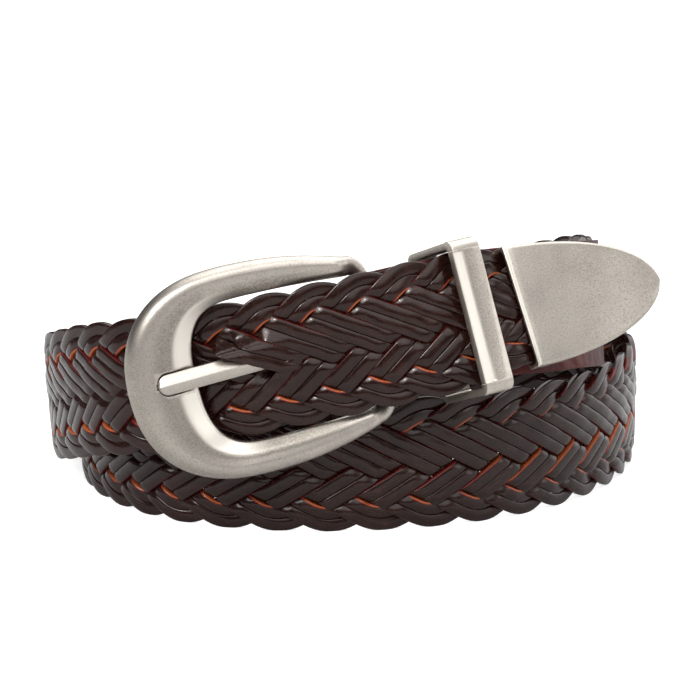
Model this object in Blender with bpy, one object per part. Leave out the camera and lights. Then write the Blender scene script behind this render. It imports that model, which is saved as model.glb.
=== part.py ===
"""Braided leather belt with a horseshoe buckle, fastened and stood on its lower edge in two turns.

Units are metres and +Z is up. The buckle faces -Y. The band starts in the metal tip, runs left over
the buckle, goes round the coil twice and ends in the leather tab that holds the buckle's bar.
"""

import math

import bmesh
import bpy
import numpy as np
from mathutils import Matrix, Vector

# Woven band
BAND_WIDTH = 0.0296
BAND_THICKNESS = 0.0044
BAND_EDGE_THICKNESS = 0.0024
SCALLOP_PITCH = 0.0111
SCALLOP_PITCH_AT_TIP = 0.0102
FIRST_SCALLOP = 0.0018
TIGHT_RUN = 0.1540
SCALLOP_DEPTH = 0.0015
SCALLOP_CROWN_RUN = 0.0035

# The band's section from its lower to its upper edge: place up its width, share of its swell
BAND_SECTION = ((-1.0, 0.0), (-0.72, 0.8), (0.0, 1.0), (0.72, 0.8), (1.0, 0.0))

# Coil
COIL_REACH = 0.0720
TURN_GAP = 0.0030
MOUTH_BEARING = -60.4
TAB_MOUTH_BEARING = -743.0
BAR_BEARING = -804.0

# Fits
FIT_GAP = 0.0003
STACK_GAP = 0.0004

# Buckle: how far its head swings out from the band that it hangs on, and how far it sags
BUCKLE_SWING = 8.8
BUCKLE_SAG = 0.9

# Buckle frame and its bar
BAR_RADIUS = 0.0015
BAR_HALF_LENGTH = 0.0139
FRAME_LENGTH = 0.0546
FRAME_HALF_HEIGHT = 0.0230
FRAME_BELLY = 0.0300
ARM_END_HALF_HEIGHT = 0.0187
ARM_END_WIDTH = 0.0043
ARM_END_SETBACK = 0.0036
OPENING_LENGTH = 0.0396
OPENING_HALF_HEIGHT = 0.0156
FRAME_EDGE = 0.0012
ARM_DOME = 0.0020
HEAD_DOME = 0.0034
ARM_RISE = 0.0027
HEAD_RISE = 0.0012
OUTER_FULLNESS = 2.3
OPENING_FULLNESS = 2.8
ARM_FLARE = 2.2
FRAME_BACK_SOFTNESS = 0.45
FRAME_SECTION_SIDES = 14

# Prong: a strip that loops round the bar and thickens into the shank
PRONG_WIDTH = 0.0044
PRONG_THICKNESS = 0.0027
PRONG_OFFSET = 0.0013
PRONG_STRIP = 0.0016
PRONG_REACH = 0.0480
PRONG_LIFT = 0.0048
PRONG_START = 0.0062
PRONG_START_LIFT = -0.0003
PRONG_LOOP_START = 22
PRONG_LOOP_END = 310
NOTCH_GAP = 0.0004

# The prong's section: place across it, height from its middle to its ridge
PRONG_SECTION = (
    (-1, 0.15),
    (-0.3, 0.8),
    (0, 1),
    (0.3, 0.8),
    (1, 0.15),
    (1, -0.7),
    (0.75, -1),
    (-0.75, -1),
    (-1, -0.7),
)

# Leather tab
TAB_LEATHER = 0.0015
TAB_WIDTH_AT_BAR = 0.0270
TAB_WIDTH_AT_END = 0.0290
TAB_SLOT_RUN = 0.0080
TONGUE_WIDTH = 0.0240
TONGUE_THICKNESS = 0.0020
TONGUE_LENGTH = 0.0120
TONGUE_EDGE_SHARE = 0.8
TAB_TAPER_RUN = 0.0090

# Keeper
KEEPER_WIDTH = 0.0067
KEEPER_HEIGHT = 0.0305
KEEPER_DEPTH = 0.0163
KEEPER_WALL = 0.0015
KEEPER_FACE = 0.0023
KEEPER_CORNER = 0.0008
KEEPER_COVE = 0.0006
KEEPER_COVE_END = 0.0003
KEEPER_BEARING = -69.6
KEEPER_SINK = 0.0005
KEEPER_SKEW = 16.0
KEEPER_ROLL = 2.0

# The keeper's outer face: place across it, share of the cove's depth
KEEPER_SECTION = (
    (-1.0, 0.5),
    (-0.28, 1.0),
    (-0.16, 0.15),
    (1.0, 0.0),
)

# Metal tip
TIP_LENGTH = 0.0343
TIP_HALF_HEIGHT = 0.0135
TIP_THICKNESS = 0.0060
TIP_WALL = 0.0009
TIP_INSERT = 0.0130
TIP_SOFT_RIM = 0.0010
TIP_FULLNESS = 2.0
TIP_ROUNDNESS = 0.5
TIP_THINNING = 0.35

# One row for each stretch of the coil: bearing in degrees round its middle, the distance from the
# middle as a share of COIL_REACH, how many turns lie inside it, whether it lies stacked over the
# tab, the height of the band's lower edge as a share of BAND_WIDTH, and how many degrees the band's
# top leans into the coil.
COIL_ROWS = (
    # bearing, reach, turns, stacked, lift, lean
    (-49, 0.897, 1.0, 1.0, 1.255, 27),
    (-62, 0.858, 1.0, 1.0, 1.198, 20),
    (-75, 0.833, 1.0, 1.0, 1.100, 10),
    (-88, 0.807, 1.0, 1.0, 0.980, 3),
    (-101, 0.806, 1.0, 1.0, 0.850, 0),
    (-114, 0.842, 1.0, 1.0, 0.715, 0),
    (-126, 0.906, 1.0, 0.7, 0.600, 0),
    (-138, 0.924, 1.0, 0.2, 0.480, -1),
    (-155, 0.896, 1.0, 0.0, 0.285, -4),
    (-172, 0.861, 1.0, 0.0, 0.125, -4),
    (-184, 0.818, 1.0, 0.0, 0.042, -3),
    (-200, 0.730, 1.0, 0.0, 0.0, 0),
    (-220, 0.635, 1.0, 0.0, 0.0, 0),
    (-245, 0.579, 1.0, 0.0, 0.0, 0),
    (-270, 0.604, 1.0, 0.0, 0.0, 0),
    (-295, 0.699, 1.0, 0.0, 0.0, 0),
    (-320, 0.807, 1.0, 0.0, 0.0, 0),
    (-342, 0.879, 1.0, 0.0, 0.0, 0),
    (-362, 0.856, 1.0, 0.0, 0.0, 0),
    (-385, 0.803, 1.0, 0.0, 0.0, 0),
    (-410, 0.771, 1.0, 0.0, 0.0, 0),
    (-435, 0.758, 1.0, 0.0, 0.0, 0),
    (-460, 0.798, 0.8, 0.0, 0.0, 0),
    (-485, 0.860, 0.5, 0.0, 0.0, 0),
    (-510, 0.874, 0.2, 0.0, 0.0, 0),
    (-530, 0.865, 0.0, 0.0, 0.0, 0),
    (-545, 0.817, 0.0, 0.0, 0.0, 0),
    (-560, 0.720, 0.0, 0.0, 0.0, 0),
    (-580, 0.624, 0.0, 0.0, 0.005, 0),
    (-605, 0.568, 0.0, 0.0, 0.065, 0),
    (-630, 0.560, 0.0, 0.0, 0.180, 0),
    (-655, 0.610, 0.0, 0.0, 0.345, 0),
    (-680, 0.695, 0.0, 0.0, 0.550, 0),
    (-697, 0.747, 0.0, 0.0, 0.700, 0),
    (-712, 0.775, 0.0, 0.0, 0.825, 0),
    (-727, 0.804, 0.0, 0.0, 0.915, 0),
    (-738, 0.822, 0.2, 0.0, 0.955, 3),
    (-749, 0.841, 0.4, 0.0, 1.015, 7),
    (-758, 0.850, 0.6, 0.0, 1.065, 12),
    (-767, 0.858, 0.8, 0.0, 1.110, 16),
    (-777, 0.855, 1.0, 0.0, 1.140, 18),
    (-784, 0.849, 1.0, 0.0, 1.140, 16),
    (-794, 0.832, 1.0, 0.0, 1.090, 10),
    (-804, 0.812, 1.0, 0.0, 1.005, 3),
)

# What follows from the sizes above
TURN_STEP = BAND_THICKNESS + TURN_GAP
FOLD_RADIUS = BAR_RADIUS + FIT_GAP + TAB_LEATHER / 2
LAYER_OFFSET = TONGUE_THICKNESS / 2 + FIT_GAP + TAB_LEATHER / 2
STACK_STEP = FOLD_RADIUS + TAB_LEATHER / 2 + STACK_GAP + BAND_THICKNESS / 2
PRONG_LOOP_RADIUS = BAR_RADIUS + FIT_GAP + PRONG_STRIP / 2
SMOOTH_ANGLE = math.radians(40)


def clear_scene():
    for item in list(bpy.data.objects):
        bpy.data.objects.remove(item)


def material(name, colour, roughness, metallic):
    """A Principled BSDF material of one colour."""
    made = bpy.data.materials.new(name)
    made.use_nodes = True
    shader = made.node_tree.nodes["Principled BSDF"]
    shader.inputs["Base Color"].default_value = (*colour, 1.0)
    shader.inputs["Roughness"].default_value = roughness
    shader.inputs["Metallic"].default_value = metallic
    return made


def loft(rings, closed=False):
    """Points and faces of a skin over rings of equal count, capped at both ends unless closed."""
    count = len(rings[0])
    points = [point for ring in rings for point in ring]
    faces = []
    for i in range(len(rings) if closed else len(rings) - 1):
        here, there = i * count, (i + 1) % len(rings) * count
        for j in range(count):
            k = (j + 1) % count
            faces.append((here + j, here + k, there + k, there + j))
    if not closed:
        faces.append(tuple(range(count)))
        last = (len(rings) - 1) * count
        faces.append(tuple(last + j for j in reversed(range(count))))
    return points, faces


def add_object(name, points, faces, finish, seat=None):
    """A mesh object at its seat with its faces turned outwards; without a finish it is a cutter."""
    mesh = bpy.data.meshes.new(name)
    mesh.from_pydata([tuple(point) for point in points], [], faces)
    work = bmesh.new()
    work.from_mesh(mesh)
    bmesh.ops.recalc_face_normals(work, faces=work.faces)
    work.to_mesh(mesh)
    work.free()
    mesh.shade_smooth()
    mesh.set_sharp_from_angle(angle=SMOOTH_ANGLE)
    made = bpy.data.objects.new(name, mesh)
    bpy.context.scene.collection.objects.link(made)
    if seat:
        made.matrix_world = seat
    if finish:
        mesh.materials.append(finish)
    else:
        made.hide_render = True
        made.display_type = "WIRE"
    return made


def cut(target, cutter):
    """Takes the cutter's shape out of the target."""
    modifier = target.modifiers.new("cut_" + cutter.name, "BOOLEAN")
    modifier.operation = "DIFFERENCE"
    modifier.solver = "EXACT"
    modifier.object = cutter


def smoothstep(value, low=0.0, high=1.0):
    share = min(max((value - low) / (high - low), 0.0), 1.0)
    return share * share * (3 - 2 * share)


def natural_spline(knots, values):
    """A smooth curve through the values, with no bend at its ends."""
    count = len(knots)
    steps = np.diff(knots)
    slopes = np.diff(values) / steps
    system = np.eye(count)
    right = np.zeros(count)
    for i in range(1, count - 1):
        system[i, i - 1 : i + 2] = steps[i - 1], 2 * (steps[i - 1] + steps[i]), steps[i]
        right[i] = 6 * (slopes[i] - slopes[i - 1])
    bends = np.linalg.solve(system, right)

    def curve(at):
        i = np.clip(np.searchsorted(knots, at) - 1, 0, count - 2)
        width = knots[i + 1] - knots[i]
        left, after = (knots[i + 1] - at) / width, (at - knots[i]) / width
        bent = (left**3 - left) * bends[i] + (after**3 - after) * bends[i + 1]
        return left * values[i] + after * values[i + 1] + bent * width**2 / 6

    return curve


def monotone_curve(knots, values):
    """A curve through the values that never overshoots them."""
    steps = np.diff(knots)
    slopes = np.diff(values) / steps
    same_way = slopes[:-1] * slopes[1:] > 0
    middle = np.zeros(len(slopes) - 1)
    middle[same_way] = 2 / (1 / slopes[:-1][same_way] + 1 / slopes[1:][same_way])
    ends = np.concatenate([[slopes[0]], middle, [slopes[-1]]])

    def curve(at):
        i = np.clip(np.searchsorted(knots, at) - 1, 0, len(steps) - 1)
        share = (at - knots[i]) / steps[i]
        rise = values[i] * (1 + 2 * share) * (1 - share) ** 2
        rise += values[i + 1] * share**2 * (3 - 2 * share)
        turn = ends[i] * share * (1 - share) ** 2 - ends[i + 1] * share**2 * (1 - share)
        return rise + turn * steps[i]

    return curve


class Route:
    """The band's centre line by arc length, from the tip's mouth (0) to the buckle's bar (length)."""

    STEP_DEGREES = 0.5

    def __init__(self):
        rows = np.array(COIL_ROWS[::-1], dtype=float)
        reach = rows[:, 1] * COIL_REACH + rows[:, 2] * TURN_STEP + rows[:, 3] * STACK_STEP
        radius = natural_spline(rows[:, 0], reach)
        lift = monotone_curve(rows[:, 0], rows[:, 4] * BAND_WIDTH)
        lean = monotone_curve(rows[:, 0], np.radians(rows[:, 5]))
        count = int((MOUTH_BEARING - BAR_BEARING) / self.STEP_DEGREES) + 1
        self.bearings = np.linspace(MOUTH_BEARING, BAR_BEARING, count)
        turned = np.radians(self.bearings)
        away, height = radius(self.bearings), lift(self.bearings) + BAND_WIDTH / 2
        self.points = np.column_stack([away * np.cos(turned), away * np.sin(turned), height])
        gaps = np.linalg.norm(np.diff(self.points, axis=0), axis=1)
        self.lengths = np.concatenate([[0.0], np.cumsum(gaps)])
        self.length = self.lengths[-1]
        self.ways = np.gradient(self.points, self.lengths, axis=0)
        self.leans = lean(self.bearings)

    def length_at(self, bearing):
        return float(np.interp(-bearing, -self.bearings, self.lengths))

    def place(self, along):
        """A matrix whose X runs back along the band to the tip, Y up its width and Z out of the coil."""
        inside = min(max(along, 0.0), self.length)
        point = Vector([np.interp(inside, self.lengths, self.points[:, k]) for k in range(3)])
        way = Vector([np.interp(inside, self.lengths, self.ways[:, k]) for k in range(3)]).normalized()
        upright = (Vector((0, 0, 1)) - way * way.z).normalized()
        level = upright.cross(way)
        lean = float(np.interp(inside, self.lengths, self.leans))
        up = upright * math.cos(lean) - level * math.sin(lean)
        out = level * math.cos(lean) + upright * math.sin(lean)
        point += way * (along - inside)
        frame = Matrix((-way, up, out)).transposed().to_4x4()
        frame.translation = point
        return frame


def band_ring(place, half_width, half_thickness, half_edge):
    """One section of the woven band: thick in the middle, with flat narrow edges."""
    side = []
    for across, swell in BAND_SECTION:
        side.append((across * half_width, half_edge + swell * (half_thickness - half_edge)))
    outline = side + [(height, -depth) for height, depth in reversed(side)]
    return [place @ Vector((0, height, depth)) for height, depth in outline]


def tip_half_height(along):
    """The tip's half height this far from its mouth: a pointed arch with a round nose."""
    share = min(max(along / TIP_LENGTH, 0.0), 1.0)
    return TIP_HALF_HEIGHT * (1 - share**TIP_FULLNESS) ** TIP_ROUNDNESS


def blend(start, end, share):
    return start + (end - start) * share


def scallop_crowns(end):
    """Arc lengths of the scallops' crowns, closer together near the tip, up to just past this end."""
    crowns = [FIRST_SCALLOP]
    while crowns[-1] < end:
        pitch = SCALLOP_PITCH_AT_TIP if crowns[-1] < TIGHT_RUN else SCALLOP_PITCH
        crowns.append(crowns[-1] + pitch)
    return crowns


def scallop_stations(end):
    """Pairs of arc length and swell: 1 on both shoulders of each crown, 0 on both sides of each dip."""
    crowns = scallop_crowns(end)
    shoulder = SCALLOP_CROWN_RUN / 2
    stations = []
    for crown, after in zip(crowns, crowns[1:]):
        dip = (crown + after) / 2
        stations += [(crown + shoulder, 1.0), (dip - shoulder / 2, 0.0), (dip + shoulder / 2, 0.0)]
        stations.append((after - shoulder, 1.0))
    return [(along, swell) for along, swell in stations if along < end - FIT_GAP]


def make_band(route, finish):
    """The woven band as one solid with scalloped edges, pressed thin inside the tip and the tab."""
    tab_mouth = route.length_at(TAB_MOUTH_BEARING)
    half_edge = BAND_EDGE_THICKNESS / 2
    slim_width = TIP_HALF_HEIGHT - TIP_WALL - FIT_GAP
    slim_thickness = TIP_THICKNESS / 2 - TIP_WALL - FIT_GAP
    half_tongue = TONGUE_THICKNESS / 2
    rings = []
    for along in np.linspace(2 * FIT_GAP - TIP_INSERT, FIT_GAP, 4):
        width = tip_half_height(-along) - TIP_WALL - FIT_GAP
        rings.append(band_ring(route.place(along), width, slim_thickness, half_edge))
    for along, swell in scallop_stations(tab_mouth):
        near_tip = smoothstep(along, 0.0, SCALLOP_PITCH / 2)
        near_tab = smoothstep(tab_mouth - along, TIP_SOFT_RIM, TAB_TAPER_RUN)
        width = blend(slim_width, BAND_WIDTH / 2 - SCALLOP_DEPTH * (1 - swell), near_tip)
        width = blend(TONGUE_WIDTH / 2, width, near_tab)
        thickness = blend(slim_thickness, BAND_THICKNESS / 2, near_tip)
        thickness = blend(half_tongue, thickness, near_tab)
        edge = min(half_edge, thickness * TONGUE_EDGE_SHARE)
        rings.append(band_ring(route.place(along), width, thickness, edge))
    for along in np.linspace(tab_mouth, tab_mouth + TONGUE_LENGTH, 4):
        edge = half_tongue * TONGUE_EDGE_SHARE
        rings.append(band_ring(route.place(along), TONGUE_WIDTH / 2, half_tongue, edge))
    return add_object("braided_strap", *loft(rings), finish)


def bulge(middle, reach, degrees, fullness=2.0):
    """A point on the upper half of an oval round its middle; a fuller oval is squarer."""
    turned = math.radians(degrees)
    cosine, sine = math.cos(turned), math.sin(turned)
    along = math.copysign(abs(cosine) ** (2 / fullness), cosine)
    return middle[0] + reach[0] * along, middle[1] + reach[1] * sine ** (2 / fullness)


def frame_stations():
    """Pairs of inner and outer outline points of the upper half, from the bar to the frame's head."""
    pairs = []
    for share in (0.0, 0.45, 0.9):
        across = BAR_HALF_LENGTH * share
        pairs.append(((BAR_RADIUS, across), (-BAR_RADIUS, across)))
    corner = (ARM_END_SETBACK, BAR_HALF_LENGTH - BAR_RADIUS / 2)
    outer_rise = ARM_END_HALF_HEIGHT - corner[1]
    inner_rise = outer_rise - ARM_END_WIDTH
    for degrees in (170, 150, 130, 110, 95):
        inner = bulge(corner, (corner[0] - BAR_RADIUS, inner_rise), degrees)
        outer = bulge(corner, (corner[0] + BAR_RADIUS, outer_rise), degrees)
        pairs.append((inner, outer))
    opening_belly = FRAME_BELLY - (FRAME_LENGTH - OPENING_LENGTH) / 6
    for share in (0.14, 0.3, 0.46, 0.62, 0.8):
        left = (1 - share) ** ARM_FLARE
        inner_height = blend(OPENING_HALF_HEIGHT, corner[1] + inner_rise, left)
        outer_height = blend(FRAME_HALF_HEIGHT, ARM_END_HALF_HEIGHT, left)
        inner = (blend(corner[0], opening_belly, share), inner_height)
        pairs.append((inner, (blend(corner[0], FRAME_BELLY, share), outer_height)))
    opening_reach = (OPENING_LENGTH - opening_belly, OPENING_HALF_HEIGHT)
    outer_reach = (FRAME_LENGTH - FRAME_BELLY, FRAME_HALF_HEIGHT)
    for degrees in (90, 79, 68, 57, 46, 35, 24, 12, 0):
        inner = bulge((opening_belly, 0), opening_reach, degrees, OPENING_FULLNESS)
        pairs.append((inner, bulge((FRAME_BELLY, 0), outer_reach, degrees, OUTER_FULLNESS)))
    return pairs


def frame_ring(inner, outer):
    """One section of the frame: round at the bar, domed with a flat back on the arms and head."""
    inner, outer = Vector(inner), Vector(outer)
    middle, reach = (inner + outer) / 2, (outer - inner) / 2
    from_bar = smoothstep(middle.x, 0.0, ARM_END_SETBACK + BAR_RADIUS)
    to_head = smoothstep(middle.x, ARM_END_SETBACK, (OPENING_LENGTH + FRAME_LENGTH) / 2)
    rise = from_bar * blend(ARM_RISE, HEAD_RISE, to_head)
    dome = blend(BAR_RADIUS, blend(ARM_DOME, HEAD_DOME, to_head), from_bar)
    back = blend(BAR_RADIUS, FRAME_EDGE, from_bar)
    softness = blend(1.0, FRAME_BACK_SOFTNESS, from_bar)
    ring = []
    for i in range(FRAME_SECTION_SIDES):
        turned = math.tau * (i + 0.5) / FRAME_SECTION_SIDES
        across, up = math.cos(turned), math.sin(turned)
        spot = middle + reach * across / math.cos(math.pi / FRAME_SECTION_SIDES)
        height = dome * up if up > 0 else -back * abs(up) ** softness
        ring.append(Vector((-spot.x, spot.y, rise + height)))
    return ring


def make_frame(seat, finish):
    """The horseshoe frame with its bar, one closed loop of sections."""
    upper = frame_stations()
    lower = [tuple((x, -y) for x, y in pair) for pair in reversed(upper[1:-1])]
    rings = [frame_ring(*pair) for pair in upper + lower]
    return add_object("buckle_frame", *loft(rings, closed=True), finish, seat)


def prong_loop():
    """The prong's loop as stations in the buckle's plane: place, way, half thickness, half width."""
    stations = []
    for degrees in np.linspace(-PRONG_LOOP_START, -PRONG_LOOP_END, 13):
        turned = math.radians(degrees)
        spot = Vector((math.cos(turned), math.sin(turned))) * PRONG_LOOP_RADIUS
        way = Vector((math.sin(turned), -math.cos(turned)))
        stations.append((spot, way, PRONG_STRIP / 2, PRONG_WIDTH / 2))
    return stations


def prong_shank():
    """The straight part's stations, from where it leaves the loop's neck to its round end."""
    start = Vector((PRONG_START, PRONG_START_LIFT))
    end = Vector((PRONG_REACH, PRONG_LIFT))
    way = (end - start).normalized()
    nose = PRONG_WIDTH / 2
    straight = (end - start).length - nose
    stations = []
    for share in (0.0, 0.3, 0.65):
        half = blend(PRONG_STRIP, PRONG_THICKNESS, (1 + share) / 2) / 2
        stations.append((start + way * straight * share, way, half, PRONG_WIDTH / 2))
    for degrees in (0, 30, 55, 75):
        turned = math.radians(degrees)
        half = PRONG_THICKNESS / 4 * (1 + math.cos(turned))
        spot = start + way * (straight + nose * math.sin(turned))
        stations.append((spot, way, half, PRONG_WIDTH / 2 * math.cos(turned)))
    return stations


def prong_neck(leave, arrive):
    """Stations that bend and thicken from the loop's end into the shank."""
    run = (arrive[0] - leave[0]).length
    stations = []
    for share in (0.25, 0.5, 0.75):
        ease, left = smoothstep(share), 1 - share
        spot = leave[0].lerp(arrive[0], ease) + leave[1] * run * share * left * left
        spot -= arrive[1] * run * share * share * left
        way = leave[1].lerp(arrive[1], ease).normalized()
        stations.append((spot, way, blend(leave[2], arrive[2], ease), PRONG_WIDTH / 2))
    return stations


def prong_ring(station, extra=0.0):
    """One section of the prong: a flat back, short sides and two facets that meet in a ridge."""
    spot, way, half, half_width = station
    out = Vector((-way.y, way.x))
    ring = []
    for across, up in PRONG_SECTION:
        point = spot + out * up * (half + extra)
        ring.append(Vector((-point.x, PRONG_OFFSET + across * (half_width + extra), point.y)))
    return ring


def make_prong(seat, finish):
    """The prong: a strip looped round the bar that runs through the band to the frame's notch."""
    loop, shank = prong_loop(), prong_shank()
    stations = loop + prong_neck(loop[-1], shank[0]) + shank
    rings = [prong_ring(station) for station in stations]
    return add_object("buckle_prong", *loft(rings), finish, seat)


def make_prong_way(seat, gap, name):
    """The room that the prong's shank needs, with a gap all round it."""
    loop, shank = prong_loop(), prong_shank()
    spot, way, half, half_width = shank[-1]
    stations = [prong_neck(loop[-1], shank[0])[-1], *shank, (spot + way * gap * 2, way, half, half_width)]
    rings = [prong_ring(station, gap) for station in stations]
    return add_object(name, *loft(rings), None, seat)


def make_tab(route, finish):
    """The smooth tab: two layers of leather along the route, folded round the bar."""
    mouth, bar = route.length_at(TAB_MOUTH_BEARING), route.length
    rings = []

    def add_ring(place, offset, turned, width):
        # The section stands on the fold's circle, turned this far round it from the outer layer.
        out = Vector((-math.sin(turned), 0, math.cos(turned)))
        spread = FOLD_RADIUS if turned % math.pi else offset
        edge = TAB_LEATHER / 4
        outline = ((-1, -1), (-1, 1), (1, 1), (1, -1))
        ring = []
        for up, side in outline:
            corners = ((edge, 0), (0, edge)) if up == side else ((0, edge), (edge, 0))
            for inset_up, inset_side in corners:
                height = up * (width / 2 - inset_up)
                depth = spread + side * (TAB_LEATHER / 2 - inset_side)
                ring.append(place @ (out * depth + Vector((0, height, 0))))
        rings.append(ring)

    def width_at(share):
        return TAB_WIDTH_AT_END + (TAB_WIDTH_AT_BAR - TAB_WIDTH_AT_END) * share

    shares = np.linspace(0.0, 1.0, 13)
    settle = TAB_TAPER_RUN / (bar - mouth)
    for share in shares:
        offset = LAYER_OFFSET + (FOLD_RADIUS - LAYER_OFFSET) * smoothstep(share, 1 - settle, 1.0)
        add_ring(route.place(mouth + (bar - mouth) * share), offset, 0.0, width_at(share))
    for i in range(1, 8):
        add_ring(route.place(bar), FOLD_RADIUS, math.pi * i / 8, width_at(1.0))
    for share in reversed(shares):
        offset = LAYER_OFFSET + (FOLD_RADIUS - LAYER_OFFSET) * smoothstep(share, 1 - settle, 1.0)
        add_ring(route.place(mouth + (bar - mouth) * share), offset, math.pi, width_at(share))
    return add_object("buckle_tab", *loft(rings), finish)


def box(low, high):
    """The eight points and six faces of a box."""
    spans = list(zip(low, high))
    points = [(x, y, z) for x in spans[0] for y in spans[1] for z in spans[2]]
    faces = [(0, 1, 3, 2), (4, 6, 7, 5), (0, 4, 5, 1), (2, 3, 7, 6), (0, 2, 6, 4), (1, 5, 7, 3)]
    return points, faces


def make_tab_slot(seat):
    """The slot in the tab's fold that lets the prong swing on the bar."""
    half = PRONG_WIDTH / 2 + 2 * FIT_GAP
    outer = FOLD_RADIUS + TAB_LEATHER
    points, faces = box((-outer, PRONG_OFFSET - half, -outer), (TAB_SLOT_RUN, PRONG_OFFSET + half, outer))
    return add_object("tab_slot", points, faces, None, seat)


def keeper_stations():
    """The loop's bends as depth, height, way outwards, wall and cove, with the cove on the front bar."""
    half_depth, half_height = KEEPER_DEPTH / 2, KEEPER_HEIGHT / 2
    bends = []
    for side_depth, side_height, first in ((1, 1, 0), (-1, 1, 90), (-1, -1, 180), (1, -1, 270)):
        depth = side_depth * (half_depth - KEEPER_CORNER)
        height = side_height * (half_height - KEEPER_CORNER)
        for degrees in (0, 45, 90):
            turned = math.radians(first + degrees)
            way = (math.cos(turned), math.sin(turned))
            front = max(way[0], 0.0) if side_depth > 0 else 0.0
            bends.append((depth, height, way, blend(KEEPER_WALL, KEEPER_FACE, front), 0.0))
    front_depth, cove_top = half_depth - KEEPER_CORNER, half_height - KEEPER_CORNER - KEEPER_COVE_END
    for height in (cove_top, -cove_top):
        cove = (front_depth, height, (1.0, 0.0), KEEPER_FACE, KEEPER_COVE)
        step = (front_depth, height + math.copysign(FIT_GAP, height), (1.0, 0.0), KEEPER_FACE, 0.0)
        bends = [step, cove, *bends] if height < 0 else [cove, step, *bends]
    return bends


def make_keeper(route, finish):
    """The keeper: a closed metal loop whose front bar has a cove beside its flat band."""
    strap_place = route.place(route.length_at(KEEPER_BEARING))
    stack = BAND_THICKNESS / 2 + STACK_STEP + LAYER_OFFSET + TAB_LEATHER / 2
    centre = strap_place @ Vector((0, 0, (BAND_THICKNESS - stack) / 2 - KEEPER_SINK))
    turn = strap_place.to_3x3().to_4x4()
    turn = turn @ Matrix.Rotation(math.radians(KEEPER_SKEW), 4, "Y")
    turn = turn @ Matrix.Rotation(math.radians(-KEEPER_ROLL), 4, "X")
    seat = Matrix.Translation(centre) @ turn
    rings = []
    for depth, height, way, wall, cove in keeper_stations():
        ring = []
        for across, sink in KEEPER_SECTION:
            out = KEEPER_CORNER + wall - cove * sink
            ring.append((across * KEEPER_WIDTH / 2, height + way[1] * out, depth + way[0] * out))
        for side in (1, -1):
            inner = (height + way[1] * KEEPER_CORNER, depth + way[0] * KEEPER_CORNER)
            ring.append((side * KEEPER_WIDTH / 2, *inner))
        rings.append(ring)
    return add_object("keeper_loop", *loft(rings, closed=True), finish, seat)


def make_tip(route, finish):
    """The pointed metal cap, hollow from its mouth to where the band ends in it."""
    rings = []

    def add_ring(along, inset):
        half_height = max(tip_half_height(along) - inset, TIP_SOFT_RIM / 2)
        thin = 1 - TIP_THINNING * smoothstep(along, TIP_INSERT, TIP_LENGTH)
        half_depth = TIP_THICKNESS / 2 * thin - inset
        rim = min(TIP_SOFT_RIM, half_height / 2)
        bevel = rim * (1 - math.sqrt(0.5))
        side = [(half_height, half_depth - rim), (half_height - bevel, half_depth - bevel)]
        side.append((half_height - rim, half_depth))
        front = side + [(-height, depth) for height, depth in reversed(side)]
        outline = front + [(height, -depth) for height, depth in reversed(front)]
        rings.append([(along, height, depth) for height, depth in outline])

    for along in np.linspace(TIP_INSERT, 0.0, 4):
        add_ring(along, TIP_WALL)
    for degrees in (0, 8, 16, 24, 32, 40, 48, 56, 63, 70, 76, 81, 85):
        add_ring(TIP_LENGTH * math.sin(math.radians(degrees)), 0.0)
    return add_object("strap_tip", *loft(rings), finish, route.place(0.0))


def stand_on_origin(parts):
    """Parents the parts to an empty that puts the middle of the belt's underside on the origin."""
    bpy.context.view_layer.update()
    graph = bpy.context.evaluated_depsgraph_get()
    corners = []
    for part in parts:
        shape = part.evaluated_get(graph).to_mesh()
        corners += [part.matrix_world @ point.co for point in shape.vertices]
    low = [min(corner[k] for corner in corners) for k in range(3)]
    high = [max(corner[k] for corner in corners) for k in range(3)]
    stand = bpy.data.objects.new("belt", None)
    bpy.context.scene.collection.objects.link(stand)
    for item in bpy.data.objects:
        if item is not stand:
            item.parent = stand
    stand.location = (-(low[0] + high[0]) / 2, -(low[1] + high[1]) / 2, -low[2])


def main():
    clear_scene()
    leather = material("braided_leather", (0.070, 0.030, 0.022), 0.45, 0.0)
    tab_leather = material("tab_leather", (0.060, 0.020, 0.016), 0.50, 0.0)
    nickel = material("antique_nickel", (0.55, 0.50, 0.44), 0.38, 1.0)
    route = Route()
    seat = route.place(route.length) @ Matrix.Rotation(math.radians(BUCKLE_SWING), 4, "Y")
    seat = seat @ Matrix.Rotation(math.radians(BUCKLE_SAG), 4, "Z")
    band = make_band(route, leather)
    frame = make_frame(seat, nickel)
    prong = make_prong(seat, nickel)
    tab = make_tab(route, tab_leather)
    keeper = make_keeper(route, nickel)
    tip = make_tip(route, nickel)
    cut(band, make_prong_way(seat, FIT_GAP, "band_prong_way"))
    cut(frame, make_prong_way(seat, NOTCH_GAP, "frame_notch"))
    cut(tab, make_tab_slot(seat))
    stand_on_origin([band, frame, prong, tab, keeper, tip])


main()
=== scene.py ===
"""Dresses the braided leather belt: plaited strips, cast fittings, smooth tab, floor and light.

Units are metres, +Z is up and the buckle faces -Y. The band starts in the metal tip, runs left over
the buckle, goes round the coil twice and ends in the leather tab that holds the buckle's bar.
"""

import logging
import math
from dataclasses import dataclass
from enum import Enum
from typing import Callable, Optional, Sequence, Union

import bmesh
import bpy
import numpy as np
from mathutils import Matrix, Vector


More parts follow.
